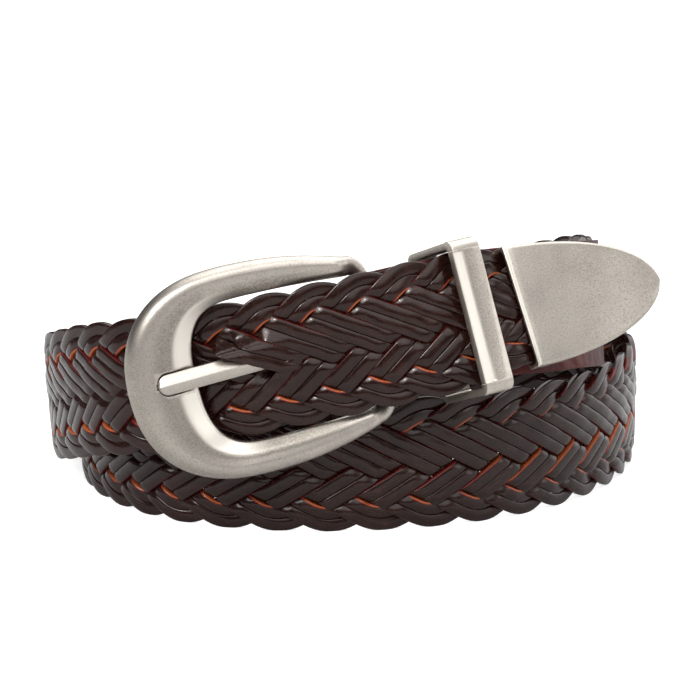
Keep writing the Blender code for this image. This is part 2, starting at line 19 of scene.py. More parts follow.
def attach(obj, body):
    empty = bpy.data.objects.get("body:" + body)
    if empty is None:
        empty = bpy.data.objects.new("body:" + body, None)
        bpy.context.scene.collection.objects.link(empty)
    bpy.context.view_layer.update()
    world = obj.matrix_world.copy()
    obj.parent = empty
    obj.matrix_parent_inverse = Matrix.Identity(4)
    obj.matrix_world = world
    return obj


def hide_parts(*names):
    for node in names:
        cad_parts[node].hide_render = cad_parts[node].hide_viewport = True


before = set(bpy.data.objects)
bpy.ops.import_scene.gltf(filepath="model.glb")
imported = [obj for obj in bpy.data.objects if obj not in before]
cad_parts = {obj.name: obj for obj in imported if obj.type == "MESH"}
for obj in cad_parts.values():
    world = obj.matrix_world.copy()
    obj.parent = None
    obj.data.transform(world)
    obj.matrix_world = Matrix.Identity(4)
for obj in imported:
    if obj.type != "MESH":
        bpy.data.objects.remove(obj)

LOG = logging.getLogger("belt")
MM = 0.001

# How many degrees the buckle swings round its bar, and sags in its own plane.
BUCKLE_SWING = 8.8
BUCKLE_SAG = 0.9

# A box's faces, where its points come in the order of their x, y and z.
BOX_FACES = ((0, 1, 3, 2), (4, 6, 7, 5), (0, 4, 5, 1), (2, 3, 7, 6), (0, 2, 6, 4), (1, 5, 7, 3))

Tree, Node, Socket = bpy.types.NodeTree, bpy.types.Node, bpy.types.NodeSocket
Material, Thing = bpy.types.Material, bpy.types.Object
Pair = tuple[float, float]
Triple = tuple[float, float, float]
Colour = Triple
Faces = Sequence[Sequence[int]]
Values = Optional[dict[str, np.ndarray]]
Curve = Callable[[np.ndarray], np.ndarray]

# One row for each stretch of the coil: bearing in degrees round its middle, the distance from the
# middle as a share of the coil's reach, how many turns lie inside it, whether it lies stacked over
# the tab, the height of the band's lower edge as a share of its width, and how many degrees its top
# leans in.
COIL_ROWS = (
    (-49, 0.897, 1.0, 1.0, 1.255, 27),
    (-62, 0.858, 1.0, 1.0, 1.198, 20),
    (-75, 0.833, 1.0, 1.0, 1.100, 10),
    (-88, 0.807, 1.0, 1.0, 0.980, 3),
    (-101, 0.806, 1.0, 1.0, 0.850, 0),
    (-114, 0.842, 1.0, 1.0, 0.715, 0),
    (-126, 0.906, 1.0, 0.7, 0.600, 0),
    (-138, 0.924, 1.0, 0.2, 0.480, -1),
    (-155, 0.896, 1.0, 0.0, 0.285, -4),
    (-172, 0.861, 1.0, 0.0, 0.125, -4),
    (-184, 0.818, 1.0, 0.0, 0.042, -3),
    (-200, 0.730, 1.0, 0.0, 0.0, 0),
    (-220, 0.635, 1.0, 0.0, 0.0, 0),
    (-245, 0.579, 1.0, 0.0, 0.0, 0),
    (-270, 0.604, 1.0, 0.0, 0.0, 0),
    (-295, 0.699, 1.0, 0.0, 0.0, 0),
    (-320, 0.807, 1.0, 0.0, 0.0, 0),
    (-342, 0.879, 1.0, 0.0, 0.0, 0),
    (-362, 0.856, 1.0, 0.0, 0.0, 0),
    (-385, 0.803, 1.0, 0.0, 0.0, 0),
    (-410, 0.771, 1.0, 0.0, 0.0, 0),
    (-435, 0.758, 1.0, 0.0, 0.0, 0),
    (-460, 0.798, 0.8, 0.0, 0.0, 0),
    (-485, 0.860, 0.5, 0.0, 0.0, 0),
    (-510, 0.874, 0.2, 0.0, 0.0, 0),
    (-530, 0.865, 0.0, 0.0, 0.0, 0),
    (-545, 0.817, 0.0, 0.0, 0.0, 0),
    (-560, 0.720, 0.0, 0.0, 0.0, 0),
    (-580, 0.624, 0.0, 0.0, 0.005, 0),
    (-605, 0.568, 0.0, 0.0, 0.065, 0),
    (-630, 0.560, 0.0, 0.0, 0.180, 0),
    (-655, 0.610, 0.0, 0.0, 0.345, 0),
    (-680, 0.695, 0.0, 0.0, 0.550, 0),
    (-697, 0.747, 0.0, 0.0, 0.700, 0),
    (-712, 0.775, 0.0, 0.0, 0.825, 0),
    (-727, 0.804, 0.0, 0.0, 0.915, 0),
    (-738, 0.822, 0.2, 0.0, 0.955, 3),
    (-749, 0.841, 0.4, 0.0, 1.015, 7),
    (-758, 0.850, 0.6, 0.0, 1.065, 12),
    (-767, 0.858, 0.8, 0.0, 1.110, 16),
    (-777, 0.855, 1.0, 0.0, 1.140, 18),
    (-784, 0.849, 1.0, 0.0, 1.140, 16),
    (-794, 0.832, 1.0, 0.0, 1.090, 10),
    (-804, 0.812, 1.0, 0.0, 1.005, 3),
)


class Slot(Enum):
    """The record's material slots."""

    BRAID = "braided_leather"
    TAB = "tab_leather"
    METAL = "antique_nickel"


def smoothstep(value: np.ndarray, low: float = 0.0, high: float = 1.0) -> np.ndarray:
    """Eases from 0 at low to 1 at high.

    Args:
        value: The values to ease.
        low: Where the ease starts.
        high: Where the ease ends.

    Returns:
        The eased shares.
    """
    share = np.clip((np.asarray(value, dtype=float) - low) / (high - low), 0.0, 1.0)
    return share * share * (3 - 2 * share)


def blend(start: float, end: float, share: float) -> float:
    """The value this share of the way from start to end."""
    return start + (end - start) * share


def window(value: np.ndarray, rise: Pair, fall: Pair) -> np.ndarray:
    """Eases from 0 to 1 over the first span and back to 0 over the second."""
    return smoothstep(value, *rise) * (1 - smoothstep(value, *fall))


def stand(name: str, data: bpy.types.ID) -> Thing:
    """A new object in the scene.

    Args:
        name: Its name.
        data: Its mesh, camera or light.

    Returns:
        The object.
    """
    made = bpy.data.objects.new(name, data)
    bpy.context.scene.collection.objects.link(made)
    return made


def natural_spline(knots: np.ndarray, values: np.ndarray) -> Curve:
    """A smooth curve through the values, with no bend at its ends.

    Args:
        knots: Where the values stand, rising.
        values: The values.

    Returns:
        The curve as a function of the place.
    """
    count = len(knots)
    steps = np.diff(knots)
    slopes = np.diff(values) / steps
    system = np.eye(count)
    right = np.zeros(count)
    for i in range(1, count - 1):
        system[i, i - 1 : i + 2] = steps[i - 1], 2 * (steps[i - 1] + steps[i]), steps[i]
        right[i] = 6 * (slopes[i] - slopes[i - 1])
    bends = np.linalg.solve(system, right)

    def curve(at: np.ndarray) -> np.ndarray:
        """The curve's values.

        Args:
            at: Where on it.

        Returns:
            Its values at these places.
        """
        i = np.clip(np.searchsorted(knots, at) - 1, 0, count - 2)
        width = knots[i + 1] - knots[i]
        left, after = (knots[i + 1] - at) / width, (at - knots[i]) / width
        bent = (left**3 - left) * bends[i] + (after**3 - after) * bends[i + 1]
        return left * values[i] + after * values[i + 1] + bent * width**2 / 6

    return curve


def monotone_curve(knots: np.ndarray, values: np.ndarray) -> Curve:
    """A curve through the values that never overshoots them.

    Args:
        knots: Where the values stand, rising.
        values: The values.

    Returns:
        The curve as a function of the place.
    """
    steps = np.diff(knots)
    slopes = np.diff(values) / steps
    same_way = slopes[:-1] * slopes[1:] > 0
    middle = np.zeros(len(slopes) - 1)
    middle[same_way] = 2 / (1 / slopes[:-1][same_way] + 1 / slopes[1:][same_way])
    ends = np.concatenate([[slopes[0]], middle, [slopes[-1]]])

    def curve(at: np.ndarray) -> np.ndarray:
        """The curve's values.

        Args:
            at: Where on it.

        Returns:
            Its values at these places.
        """
        i = np.clip(np.searchsorted(knots, at) - 1, 0, len(steps) - 1)
        share = (at - knots[i]) / steps[i]
        rise = values[i] * (1 + 2 * share) * (1 - share) ** 2
        rise += values[i + 1] * share**2 * (3 - 2 * share)
        turn = ends[i] * share * (1 - share) ** 2 - ends[i + 1] * share**2 * (1 - share)
        return rise + turn * steps[i]

    return curve


def tube_faces(start: int, rings: int, sides: int, closed: bool = False) -> list[tuple[int, ...]]:
    """Faces of a skin over rings of points.

    Args:
        start: The first point's number.
        rings: How many rings there are.
        sides: How many points each ring has.
        closed: Whether the last ring joins the first; otherwise both ends are capped.

    Returns:
        The faces.
    """
    faces: list[tuple[int, ...]] = []
    for i in range(rings if closed else rings - 1):
        here, there = start + i * sides, start + (i + 1) % rings * sides
        for j in range(sides):
            k = (j + 1) % sides
            faces.append((here + j, here + k, there + k, there + j))
    if not closed:
        faces.append(tuple(start + j for j in range(sides)))
        faces.append(tuple(start + (rings - 1) * sides + j for j in reversed(range(sides))))
    return faces


def bulge(middle: Pair, reach: Pair, degrees: float, fullness: float = 2.0) -> Pair:
    """A point on the upper half of an oval; a fuller oval is squarer.

    Args:
        middle: The oval's middle.
        reach: Its half width and half height.
        degrees: Where on it.
        fullness: How full it is.

    Returns:
        The point.
    """
    cosine, sine = math.cos(math.radians(degrees)), math.sin(math.radians(degrees))
    along = math.copysign(abs(cosine) ** (2 / fullness), cosine)
    return middle[0] + reach[0] * along, middle[1] + reach[1] * sine ** (2 / fullness)


def closed_curve(rows: np.ndarray, steps: int) -> np.ndarray:
    """A smooth closed curve through rows of numbers.

    Args:
        rows: The rows that it runs through.
        steps: How many rows come of each one.

    Returns:
        The curve's rows.
    """
    before, after, beyond = np.roll(rows, 1, 0), np.roll(rows, -1, 0), np.roll(rows, -2, 0)
    found = []
    for i in range(steps):
        t = i / steps
        squared = 2 * before - 5 * rows + 4 * after - beyond
        cubed = 3 * rows - before - 3 * after + beyond
        found.append(0.5 * (2 * rows + (after - before) * t + squared * t**2 + cubed * t**3))
    return np.stack(found, axis=1).reshape(-1, rows.shape[1])


@dataclass
class Route:
    """The band's centre line by arc length, from the tip's mouth (0) to the buckle's bar."""

    band_width: float = 29.6 * MM
    band_thickness: float = 4.4 * MM
    turn_gap: float = 3.0 * MM
    coil_reach: float = 72.0 * MM
    stack_step: float = 5.9 * MM
    tab_offset: float = 2.05 * MM
    fold_radius: float = 2.55 * MM
    mouth_bearing: float = -60.4
    tab_bearing: float = -743.0
    bar_bearing: float = -804.0
    step_degrees: float = 0.5
    middle: Pair = (-0.282 * MM, 12.182 * MM)

    def __post_init__(self) -> None:
        """Works out the centre line and the ways along it, up it and out of it."""
        rows = np.array(COIL_ROWS[::-1], dtype=float)
        turn_step = self.band_thickness + self.turn_gap
        reach = rows[:, 1] * self.coil_reach + rows[:, 2] * turn_step + rows[:, 3] * self.stack_step
        radius = natural_spline(rows[:, 0], reach)
        lift = monotone_curve(rows[:, 0], rows[:, 4] * self.band_width)
        lean = monotone_curve(rows[:, 0], np.radians(rows[:, 5]))
        count = int((self.mouth_bearing - self.bar_bearing) / self.step_degrees) + 1
        self.bearings = np.linspace(self.mouth_bearing, self.bar_bearing, count)
        turned, away = np.radians(self.bearings), radius(self.bearings)
        height = lift(self.bearings) + self.band_width / 2
        self.points = np.column_stack([away * np.cos(turned), away * np.sin(turned), height])
        gaps = np.linalg.norm(np.diff(self.points, axis=0), axis=1)
        self.lengths = np.concatenate([[0.0], np.cumsum(gaps)])
        self.length = float(self.lengths[-1])
        ways = np.gradient(self.points, self.lengths, axis=0)
        self.ways = ways / np.linalg.norm(ways, axis=1)[:, None]
        self.points[:, :2] += self.middle
        upright = np.array([0.0, 0.0, 1.0]) - self.ways * self.ways[:, 2:]
        upright /= np.linalg.norm(upright, axis=1)[:, None]
        level = np.cross(upright, self.ways)
        cosine, sine = np.cos(lean(self.bearings))[:, None], np.sin(lean(self.bearings))[:, None]
        self.ups = upright * cosine - level * sine
        self.outs = level * cosine + upright * sine
        self.tab_mouth = self.length_at(self.tab_bearing)

    def length_at(self, bearing: float) -> float:
        """The arc length at a bearing round the coil."""
        return float(np.interp(-bearing, -self.bearings, self.lengths))

    def spots(self, along: np.ndarray, up: np.ndarray, out: np.ndarray) -> np.ndarray:
        """Points that ride on the band.

        Args:
            along: Arc lengths from the tip's mouth.
            up: Distances up the band's width from its middle.
            out: Distances out of the coil from the band's middle.

        Returns:
            One row of x, y, z for each point.
        """
        inside = np.clip(along, 0.0, self.length)

        def at(table: np.ndarray) -> np.ndarray:
            """The table's rows at the points' arc lengths."""
            return np.column_stack([np.interp(inside, self.lengths, table[:, k]) for k in range(3)])

        spots = at(self.points) + at(self.ways) * (along - inside)[:, None]
        return spots + at(self.ups) * up[:, None] + at(self.outs) * out[:, None]

    def place(self, along: float) -> Matrix:
        """A place on the band: X runs back along it to the tip, Y up its width, Z out of the coil.

        Args:
            along: Its arc length from the tip's mouth.

        Returns:
            The place as a matrix.
        """
        ends = [(0.0, 0.0, 0.0), (-1.0, 0.0, 0.0), (0.0, 1.0, 0.0), (0.0, 0.0, 1.0)]
        steps = np.array(ends) * MM
        spots = self.spots(along + steps[:, 0], steps[:, 1], steps[:, 2])
        axes = [Vector(spots[k] - spots[0]).normalized() for k in (1, 2, 3)]
        made = Matrix(axes).transposed().to_4x4()
        made.translation = Vector(spots[0])
        return made


@dataclass(frozen=True)
class Finish:
    """What every finish has: its material's name."""

    name: str

    def start(self) -> tuple[Material, "Wiring"]:
        """A new material.

        Returns:
            The material and the helper that wires it.
        """
        made = bpy.data.materials.new(self.name)
        made.use_nodes = True
        return made, Wiring(made.node_tree)


@dataclass
class Wiring:
    """Adds nodes to one tree and links them."""

    tree: Tree

    def node(self, kind: str, **settings: object) -> Node:
        """A new node.

        Args:
            kind: Its type.
            **settings: Its settings by name.

        Returns:
            The node.
        """
        made = self.tree.nodes.new(kind)
        for key, value in settings.items():
            setattr(made, key, value)
        return made

    def feed(self, node: Node, socket: Union[int, str], value: object) -> None:
        """Sets a socket to a value, or links it where the value is another node's output.

        Args:
            node: The node that is fed.
            socket: Its input's name or number.
            value: A number, a colour or an output socket.
        """
        entry = node.inputs[socket]
        if isinstance(value, Socket):
            self.tree.links.new(value, entry)
        elif isinstance(value, tuple) and len(value) == 3 and entry.type == "RGBA":
            entry.default_value = (*value, 1.0)
        else:
            entry.default_value = value

    def filled(self, made: Node, values: dict[Union[int, str], object]) -> Node:
        """Feeds several of a node's inputs.

        Args:
            made: The node.
            values: Values or outputs by the input's name or number.

        Returns:
            The node.
        """
        for socket, value in values.items():
            self.feed(made, socket, value)
        return made

    def shader(self) -> Node:
        """The material's own shader."""
        return self.tree.nodes["Principled BSDF"]

    def place(self) -> Socket:
        """Where a point of the surface lies, in the piece's own frame."""
        return self.node("ShaderNodeTexCoord").outputs["Object"]

    def carried(self, name: str) -> Socket:
        """A value that the mesh carries at each of its points."""
        return self.node("ShaderNodeAttribute", attribute_name=name).outputs["Fac"]

    def noise(self, at: Socket, scale: float, detail: float = 3.0, rough: float = 0.55) -> Socket:
        """A noise pattern's value.

        Args:
            at: Where the surface point lies.
            scale: How fine the pattern is.
            detail: How many finer layers it has.
            rough: How strong the finer layers are.

        Returns:
            The value's output.
        """
        values = {"Vector": at, "Scale": scale, "Detail": detail, "Roughness": rough}
        return self.filled(self.node("ShaderNodeTexNoise"), values).outputs["Fac"]

    def maths(self, operation: str, first: object, second: object) -> Socket:
        """One sum.

        Args:
            operation: Which sum.
            first: Its first value or output.
            second: Its second.

        Returns:
            The result's output.
        """
        made = self.node("ShaderNodeMath", operation=operation)
        return self.filled(made, {0: first, 1: second}).outputs[0]

    def plus(self, first: object, second: object) -> Socket:
        """Two values added."""
        return self.maths("ADD", first, second)

    def times(self, first: object, second: object) -> Socket:
        """Two values multiplied."""
        return self.maths("MULTIPLY", first, second)

    def span(self, value: object, ends: Pair, onto: Pair = (0.0, 1.0)) -> Socket:
        """Maps a value smoothly from one span onto another.

        Args:
            value: The value.
            ends: The span that it comes from.
            onto: The span that it goes to.

        Returns:
            The mapped value's output.
        """
        made = self.node("ShaderNodeMapRange", interpolation_type="SMOOTHSTEP")
        names = ("Value", "From Min", "From Max", "To Min", "To Max")
        return self.filled(made, dict(zip(names, (value, *ends, *onto)))).outputs["Result"]

    def mix(self, share: object, first: object, second: object) -> Socket:
        """A colour between two colours.

        Args:
            share: How much of the second.
            first: One colour.
            second: The other.

        Returns:
            The colour's output.
        """
        made = self.node("ShaderNodeMix", data_type="RGBA")
        return self.filled(made, {0: share, 6: first, 7: second}).outputs[2]

    def bump(self, height: Socket, relief: Pair, under: Optional[Socket] = None) -> Socket:
        """A normal bent by a height.

        Args:
            height: The height.
            relief: How strongly it shows and how high it is.
            under: The normal that it bends, if it isn't the surface's own.

        Returns:
            The normal's output.
        """
        made = self.node("ShaderNodeBump")
        self.filled(made, {"Height": height, "Strength": relief[0], "Distance": relief[1]})
        if under is not None:
            self.feed(made, "Normal", under)
        return made.outputs["Normal"]


class Effects:
    """Shader groups that several finishes share, each built once."""

    GRAIN = "leather_grain"
    WEAR = "edge_wear"

    def __init__(self) -> None:
        """Starts with no group built."""
        self.made: dict[str, Tree] = {}

    def group(self, name: str) -> Tree:
        """A group, built on its first use.

        Args:
            name: The group's name.

        Returns:
            The group.
        """
        if name not in self.made:
            builders = {self.GRAIN: self._grain, self.WEAR: self._wear}
            self.made[name] = builders[name]()
        return self.made[name]

    def use(self, wiring: Wiring, name: str, **values: object) -> Node:
        """Puts a group into a material with its own values.

        Args:
            wiring: The material's wiring.
            name: The group's name.
            **values: Values or outputs by input name.

        Returns:
            The group's node.
        """
        return wiring.filled(wiring.node("ShaderNodeGroup", node_tree=self.group(name)), values)

    @staticmethod
    def _open(
        name: str, inputs: Sequence[str], outputs: Sequence[str]
    ) -> tuple[Wiring, Node, Node]:
        """An empty group that takes a vector and some numbers and gives numbers.

        Args:
            name: The group's name.
            inputs: The numbers that it takes.
            outputs: The numbers that it gives.

        Returns:
            The wiring and the nodes where values come in and go out.
        """
        tree = bpy.data.node_groups.new(name, "ShaderNodeTree")
        add = tree.interface.new_socket
        add("Vector", in_out="INPUT", socket_type="NodeSocketVector")
        for way, titles in (("INPUT", inputs), ("OUTPUT", outputs)):
            for title in titles:
                add(title, in_out=way, socket_type="NodeSocketFloat")
        wiring = Wiring(tree)
        return wiring, wiring.node("NodeGroupInput"), wiring.node("NodeGroupOutput")

    def _grain(self) -> Tree:
        """Leather grain: small rounded cells with creases between them, and slow swells.

        Returns:
            The group.
        """
        cell_share, smoothness, swell_scale = 0.6, 0.6, 0.12
        fine_share, fine_scale, fine_detail = 0.5, 1.7, 3.0
        wiring, given, result = self._open(self.GRAIN, ["Scale"], ["Height", "Swell"])
        where, scale = given.outputs["Vector"], given.outputs["Scale"]
        cells = wiring.node("ShaderNodeTexVoronoi", feature="SMOOTH_F1")
        wiring.filled(cells, {"Vector": where, "Scale": scale, "Smoothness": smoothness})
        fine = wiring.node("ShaderNodeTexNoise")
        finer = wiring.times(scale, fine_scale)
        wiring.filled(fine, {"Vector": where, "Scale": finer, "Detail": fine_detail})
        slow = wiring.node("ShaderNodeTexNoise")
        wiring.filled(slow, {"Vector": where, "Scale": wiring.times(scale, swell_scale)})
        rounded = wiring.times(cells.outputs["Distance"], cell_share)
        creased = wiring.times(fine.outputs["Fac"], fine_share)
        height = wiring.plus(rounded, creased)
        wiring.filled(result, {"Height": height, "Swell": slow.outputs["Fac"]})
        return wiring.tree

    def _wear(self) -> Tree:
        """Where edges wear bright and hollows stay dark, from the surface's own bend.

        Returns:
            The group.
        """
        ridge, hollow, patch, patch_wear = (0.505, 0.56), (0.495, 0.44), (0.25, 0.6), (0.4, 1.0)
        detail, rough = 4.0, 0.6
        wiring, given, result = self._open(self.WEAR, ["Scale", "Amount"], ["Edge", "Hollow"])
        bend = wiring.node("ShaderNodeNewGeometry").outputs["Pointiness"]
        patchy = wiring.noise(given.outputs["Vector"], given.outputs["Scale"], detail, rough)
        wear_and_painted_light = wiring.times(wiring.span(bend, ridge), wiring.span(patchy, patch, patch_wear))
        edge = wiring.times(wear_and_painted_light, given.outputs["Amount"])
        wiring.filled(result, {"Edge": edge, "Hollow": wiring.span(bend, hollow)})
        return wiring.tree


@dataclass(frozen=True)
class StripLeather(Finish):
    """Glossy dark strips, lighter in streaks along their run for scuffs and a painted satin sheen,
    with raw orange cut edges.
    """

    # Dark is the strips' own colour; light stands for scuffed leather and a painted satin sheen
    # along the strips.
    dark: Colour = (0.0085, 0.0023, 0.0019)
    light: Colour = (0.033, 0.0105, 0.0070)
    edge: Colour = (0.36, 0.078, 0.021)
    edge_dark: Colour = (0.125, 0.010, 0.008)
    tint: Colour = (1.0, 0.86, 0.79)
    roughness: float = 0.17
    scuffed_roughness: float = 0.14
    raw_roughness: float = 0.30
    ragged: float = 0.55
    ragged_scale: float = 700.0
    cut_span: Pair = (0.50, 0.72)
    raw_span: Pair = (0.82, 0.97)
    patch_scale: float = 160.0
    patch_span: Pair = (0.26, 0.50)
    fine_detail: float = 4.0
    streak_stretch: float = 7.0
    streak_scale: float = 330.0
    streak_rough: float = 0.6
    scuff_and_sheen_span: Pair = (0.30, 0.76)
    cloud_scale: float = 75.0
    cloud_span: Pair = (0.25, 0.65)
    cloud_shares: Pair = (0.35, 1.0)
    grain_scale: float = 2200.0
    swell_relief: Pair = (0.4, 0.4 * MM)
    streak_relief: Pair = (0.25, 0.12 * MM)
    grain_relief: Pair = (0.35, 0.07 * MM)
    settings: tuple[tuple[str, float], ...] = (
        ("Coat Weight", 0.50),
        ("Coat Roughness", 0.13),
        ("Specular IOR Level", 0.16),
    )

    def build(self, effects: Effects) -> Material:
        """The strips' material.

        Args:
            effects: The shared shader groups.

        Returns:
            The material.
        """
        made, wiring = self.start()
        shader, where = wiring.shader(), wiring.place()
        grain = effects.use(wiring, Effects.GRAIN, Vector=where, Scale=self.grain_scale)
        cut = wiring.carried("cut_edge")
        uneven = wiring.maths("SUBTRACT", wiring.noise(where, self.ragged_scale), 0.5)
        mask = wiring.span(wiring.plus(cut, wiring.times(uneven, self.ragged)), self.cut_span)
        patchy = wiring.noise(where, self.patch_scale, self.fine_detail)
        patches = wiring.span(patchy, self.patch_span)
        undyed = wiring.times(wiring.span(cut, self.raw_span), patches)
        raw = wiring.mix(undyed, self.edge_dark, self.edge)
        run = wiring.node("ShaderNodeCombineXYZ")
        across = wiring.times(wiring.carried("strip_across"), self.streak_stretch)
        wiring.filled(run, {0: wiring.carried("strip_along"), 1: across})
        streaks = wiring.noise(
            run.outputs["Vector"], self.streak_scale, self.fine_detail, self.streak_rough
        )
        # The lighter streaks are partly scuffs and partly a painted satin sheen.
        scuffs_and_sheen = wiring.span(streaks, self.scuff_and_sheen_span)
        cloud = wiring.noise(where, self.cloud_scale)
        cloud = wiring.span(cloud, self.cloud_span, self.cloud_shares)
        face = wiring.mix(wiring.times(scuffs_and_sheen, cloud), self.dark, self.light)
        tone = wiring.mix(mask, face, raw)
        marks = wiring.plus(self.roughness, wiring.times(scuffs_and_sheen, self.scuffed_roughness))
        rough = wiring.plus(marks, wiring.times(mask, self.raw_roughness))
        swell = wiring.bump(grain.outputs["Swell"], self.swell_relief)
        ridges = wiring.bump(streaks, self.streak_relief, swell)
        normal = wiring.bump(grain.outputs["Height"], self.grain_relief, ridges)
        wiring.filled(shader, {"Base Color": tone, "Roughness": rough, "Normal": normal})
        wiring.filled(shader, {"Specular Tint": self.tint, **dict(self.settings)})
        return made


@dataclass(frozen=True)
class SmoothLeather(Finish):
    """Smooth satin oxblood leather."""

    dark: Colour = (0.020, 0.006, 0.006)
    light: Colour = (0.085, 0.012, 0.011)
    roughness: float = 0.40
    grain_roughness: float = 0.15
    grain_scale: float = 1600.0
    cloud_scale: float = 70.0
    cloud_detail: float = 4.0
    cloud_span: Pair = (0.3, 0.7)
    swell_relief: Pair = (0.9, 0.9 * MM)
    grain_relief: Pair = (0.5, 0.14 * MM)
    shine: float = 0.18

    def build(self, effects: Effects) -> Material:
        """The tab's material.

        Args:
            effects: The shared shader groups.

        Returns:
            The material.
        """
        made, wiring = self.start()
        shader, where = wiring.shader(), wiring.place()
        grain = effects.use(wiring, Effects.GRAIN, Vector=where, Scale=self.grain_scale)
        height = grain.outputs["Height"]
        cloud = wiring.noise(where, self.cloud_scale, self.cloud_detail)
        tone = wiring.mix(wiring.span(cloud, self.cloud_span), self.dark, self.light)
        rough = wiring.plus(self.roughness, wiring.times(height, self.grain_roughness))
        swell = wiring.bump(grain.outputs["Swell"], self.swell_relief)
        normal = wiring.bump(height, self.grain_relief, swell)
        wiring.filled(shader, {"Base Color": tone, "Roughness": rough, "Normal": normal})
        wiring.feed(shader, "Specular IOR Level", self.shine)
        return made


@dataclass(frozen=True)
class Thread(Finish):
    """Waxed dark thread with a fine twist."""

    dark: Colour = (0.020, 0.009, 0.007)
    light: Colour = (0.075, 0.032, 0.022)
    roughness: float = 0.45
    grain_roughness: float = 0.2
    grain_scale: float = 3800.0
    grain_span: Pair = (0.25, 0.6)
    grain_relief: Pair = (0.5, 0.1 * MM)

    def build(self, effects: Effects) -> Material:
        """The seam's material.

        Args:
            effects: The shared shader groups.

        Returns:
            The material.
        """
        made, wiring = self.start()
        shader, where = wiring.shader(), wiring.place()
        grain = effects.use(wiring, Effects.GRAIN, Vector=where, Scale=self.grain_scale)
        height = grain.outputs["Height"]
        tone = wiring.mix(wiring.span(height, self.grain_span), self.dark, self.light)
        rough = wiring.plus(self.roughness, wiring.times(height, self.grain_roughness))
        normal = wiring.bump(height, self.grain_relief)
        wiring.filled(shader, {"Base Color": tone, "Roughness": rough, "Normal": normal})
        return made


@dataclass(frozen=True)
class AntiqueNickel(Finish):
    """Brushed antique nickel plate: warm grey, bright where its edges wear, finely speckled, with
    painted highlights and painted shade where the pieces mark them.
    """

    base: Colour = (0.49, 0.447, 0.403)
    bright: Colour = (0.66, 0.61, 0.54)
    # Tarnish colour, also laid in speckles as painted shade where the pieces mark their faces as
    # shaded.
    tarnish_and_shade: Colour = (0.15, 0.13, 0.105)
    # Colour of the painted highlight.
    painted_highlight_colour: Colour = (0.90, 0.85, 0.77)
    roughness: float = 0.34
    wear_scale: float = 500.0
    wear_amount: float = 0.9
    speckle_roughness: float = 0.16
    speckle_scale: float = 2700.0
    speckle_detail: float = 4.0
    speckle_rough: float = 0.75
    speckle_relief: Pair = (0.22, 0.08 * MM)
    pale_span: Pair = (0.42, 0.30)
    stained_span: Pair = (0.50, 0.66)
    # Speckle span of the painted shade.
    shade_speckle_span: Pair = (0.30, 0.56)
    matt_span: Pair = (0.4, 0.75)
    cloud_scale: float = 130.0
    cloud_span: Pair = (0.35, 0.7)
    patchiness: float = 0.45
    # How strong the painted highlight and the painted shade get.
    full_painted_highlight: float = 0.95
    painted_shade: Pair = (0.25, 0.75)

    def build(self, effects: Effects) -> Material:
        """The fittings' material.

        Args:
            effects: The shared shader groups.

        Returns:
            The material.
        """
        made, wiring = self.start()
        shader, where = wiring.shader(), wiring.place()
        values = {"Vector": where, "Scale": self.wear_scale, "Amount": self.wear_amount}
        wear = effects.use(wiring, Effects.WEAR, **values)
        speckle = wiring.noise(
            where, self.speckle_scale, self.speckle_detail, self.speckle_rough
        )
        cloud = wiring.noise(where, self.cloud_scale)
        some = (0.0, self.patchiness)
        tone = wiring.mix(wiring.span(cloud, self.cloud_span, some), self.base, self.bright)
        tone = wiring.mix(wiring.span(speckle, self.stained_span, some), tone, self.tarnish_and_shade)
        # Painted shade: the pieces' darkened share mixes in the tarnish colour in speckles.
        shade_speckle = wiring.span(speckle, self.shade_speckle_span, self.painted_shade)
        tone = wiring.mix(wiring.times(wiring.carried("darkened"), shade_speckle), tone, self.tarnish_and_shade)
        tone = wiring.mix(wiring.span(speckle, self.pale_span, some), tone, self.bright)
        tone = wiring.mix(wear.outputs["Hollow"], tone, self.tarnish_and_shade)
        # Painted highlight: the pieces' highlight share mixes in the pale highlight colour.
        painted_highlight = wiring.times(wiring.carried("painted_highlight"), self.full_painted_highlight)
        tone = wiring.mix(painted_highlight, tone, self.painted_highlight_colour)
        tone = wiring.mix(wear.outputs["Edge"], tone, self.bright)
        matt = wiring.span(speckle, self.matt_span, (0.0, self.speckle_roughness))
        rough = wiring.plus(self.roughness, matt)
        normal = wiring.bump(speckle, self.speckle_relief)
        wiring.filled(shader, {"Base Color": tone, "Roughness": rough, "Normal": normal})
        wiring.feed(shader, "Metallic", 1.0)
        return made


@dataclass(frozen=True)
class PaleFloor(Finish):
    """A white studio floor that looks evenly lit but sheds only a little light on the belt."""

    colour: Colour = (0.45, 0.45, 0.45)
    glow: Colour = (1.0, 1.0, 1.0)
    roughness: float = 0.9
    seen: float = 0.78
    shed: float = 0.10

    def build(self) -> Material:
        """The floor's material.

        Returns:
            The material.
        """
        made, wiring = self.start()
        shader = wiring.shader()
        wiring.filled(shader, {"Base Color": self.colour, "Emission Color": self.glow})
        seen = wiring.node("ShaderNodeLightPath").outputs["Is Camera Ray"]
        strength = wiring.span(seen, (0.0, 1.0), (self.shed, self.seen))
        wiring.filled(shader, {"Emission Strength": strength, "Roughness": self.roughness})
        return made


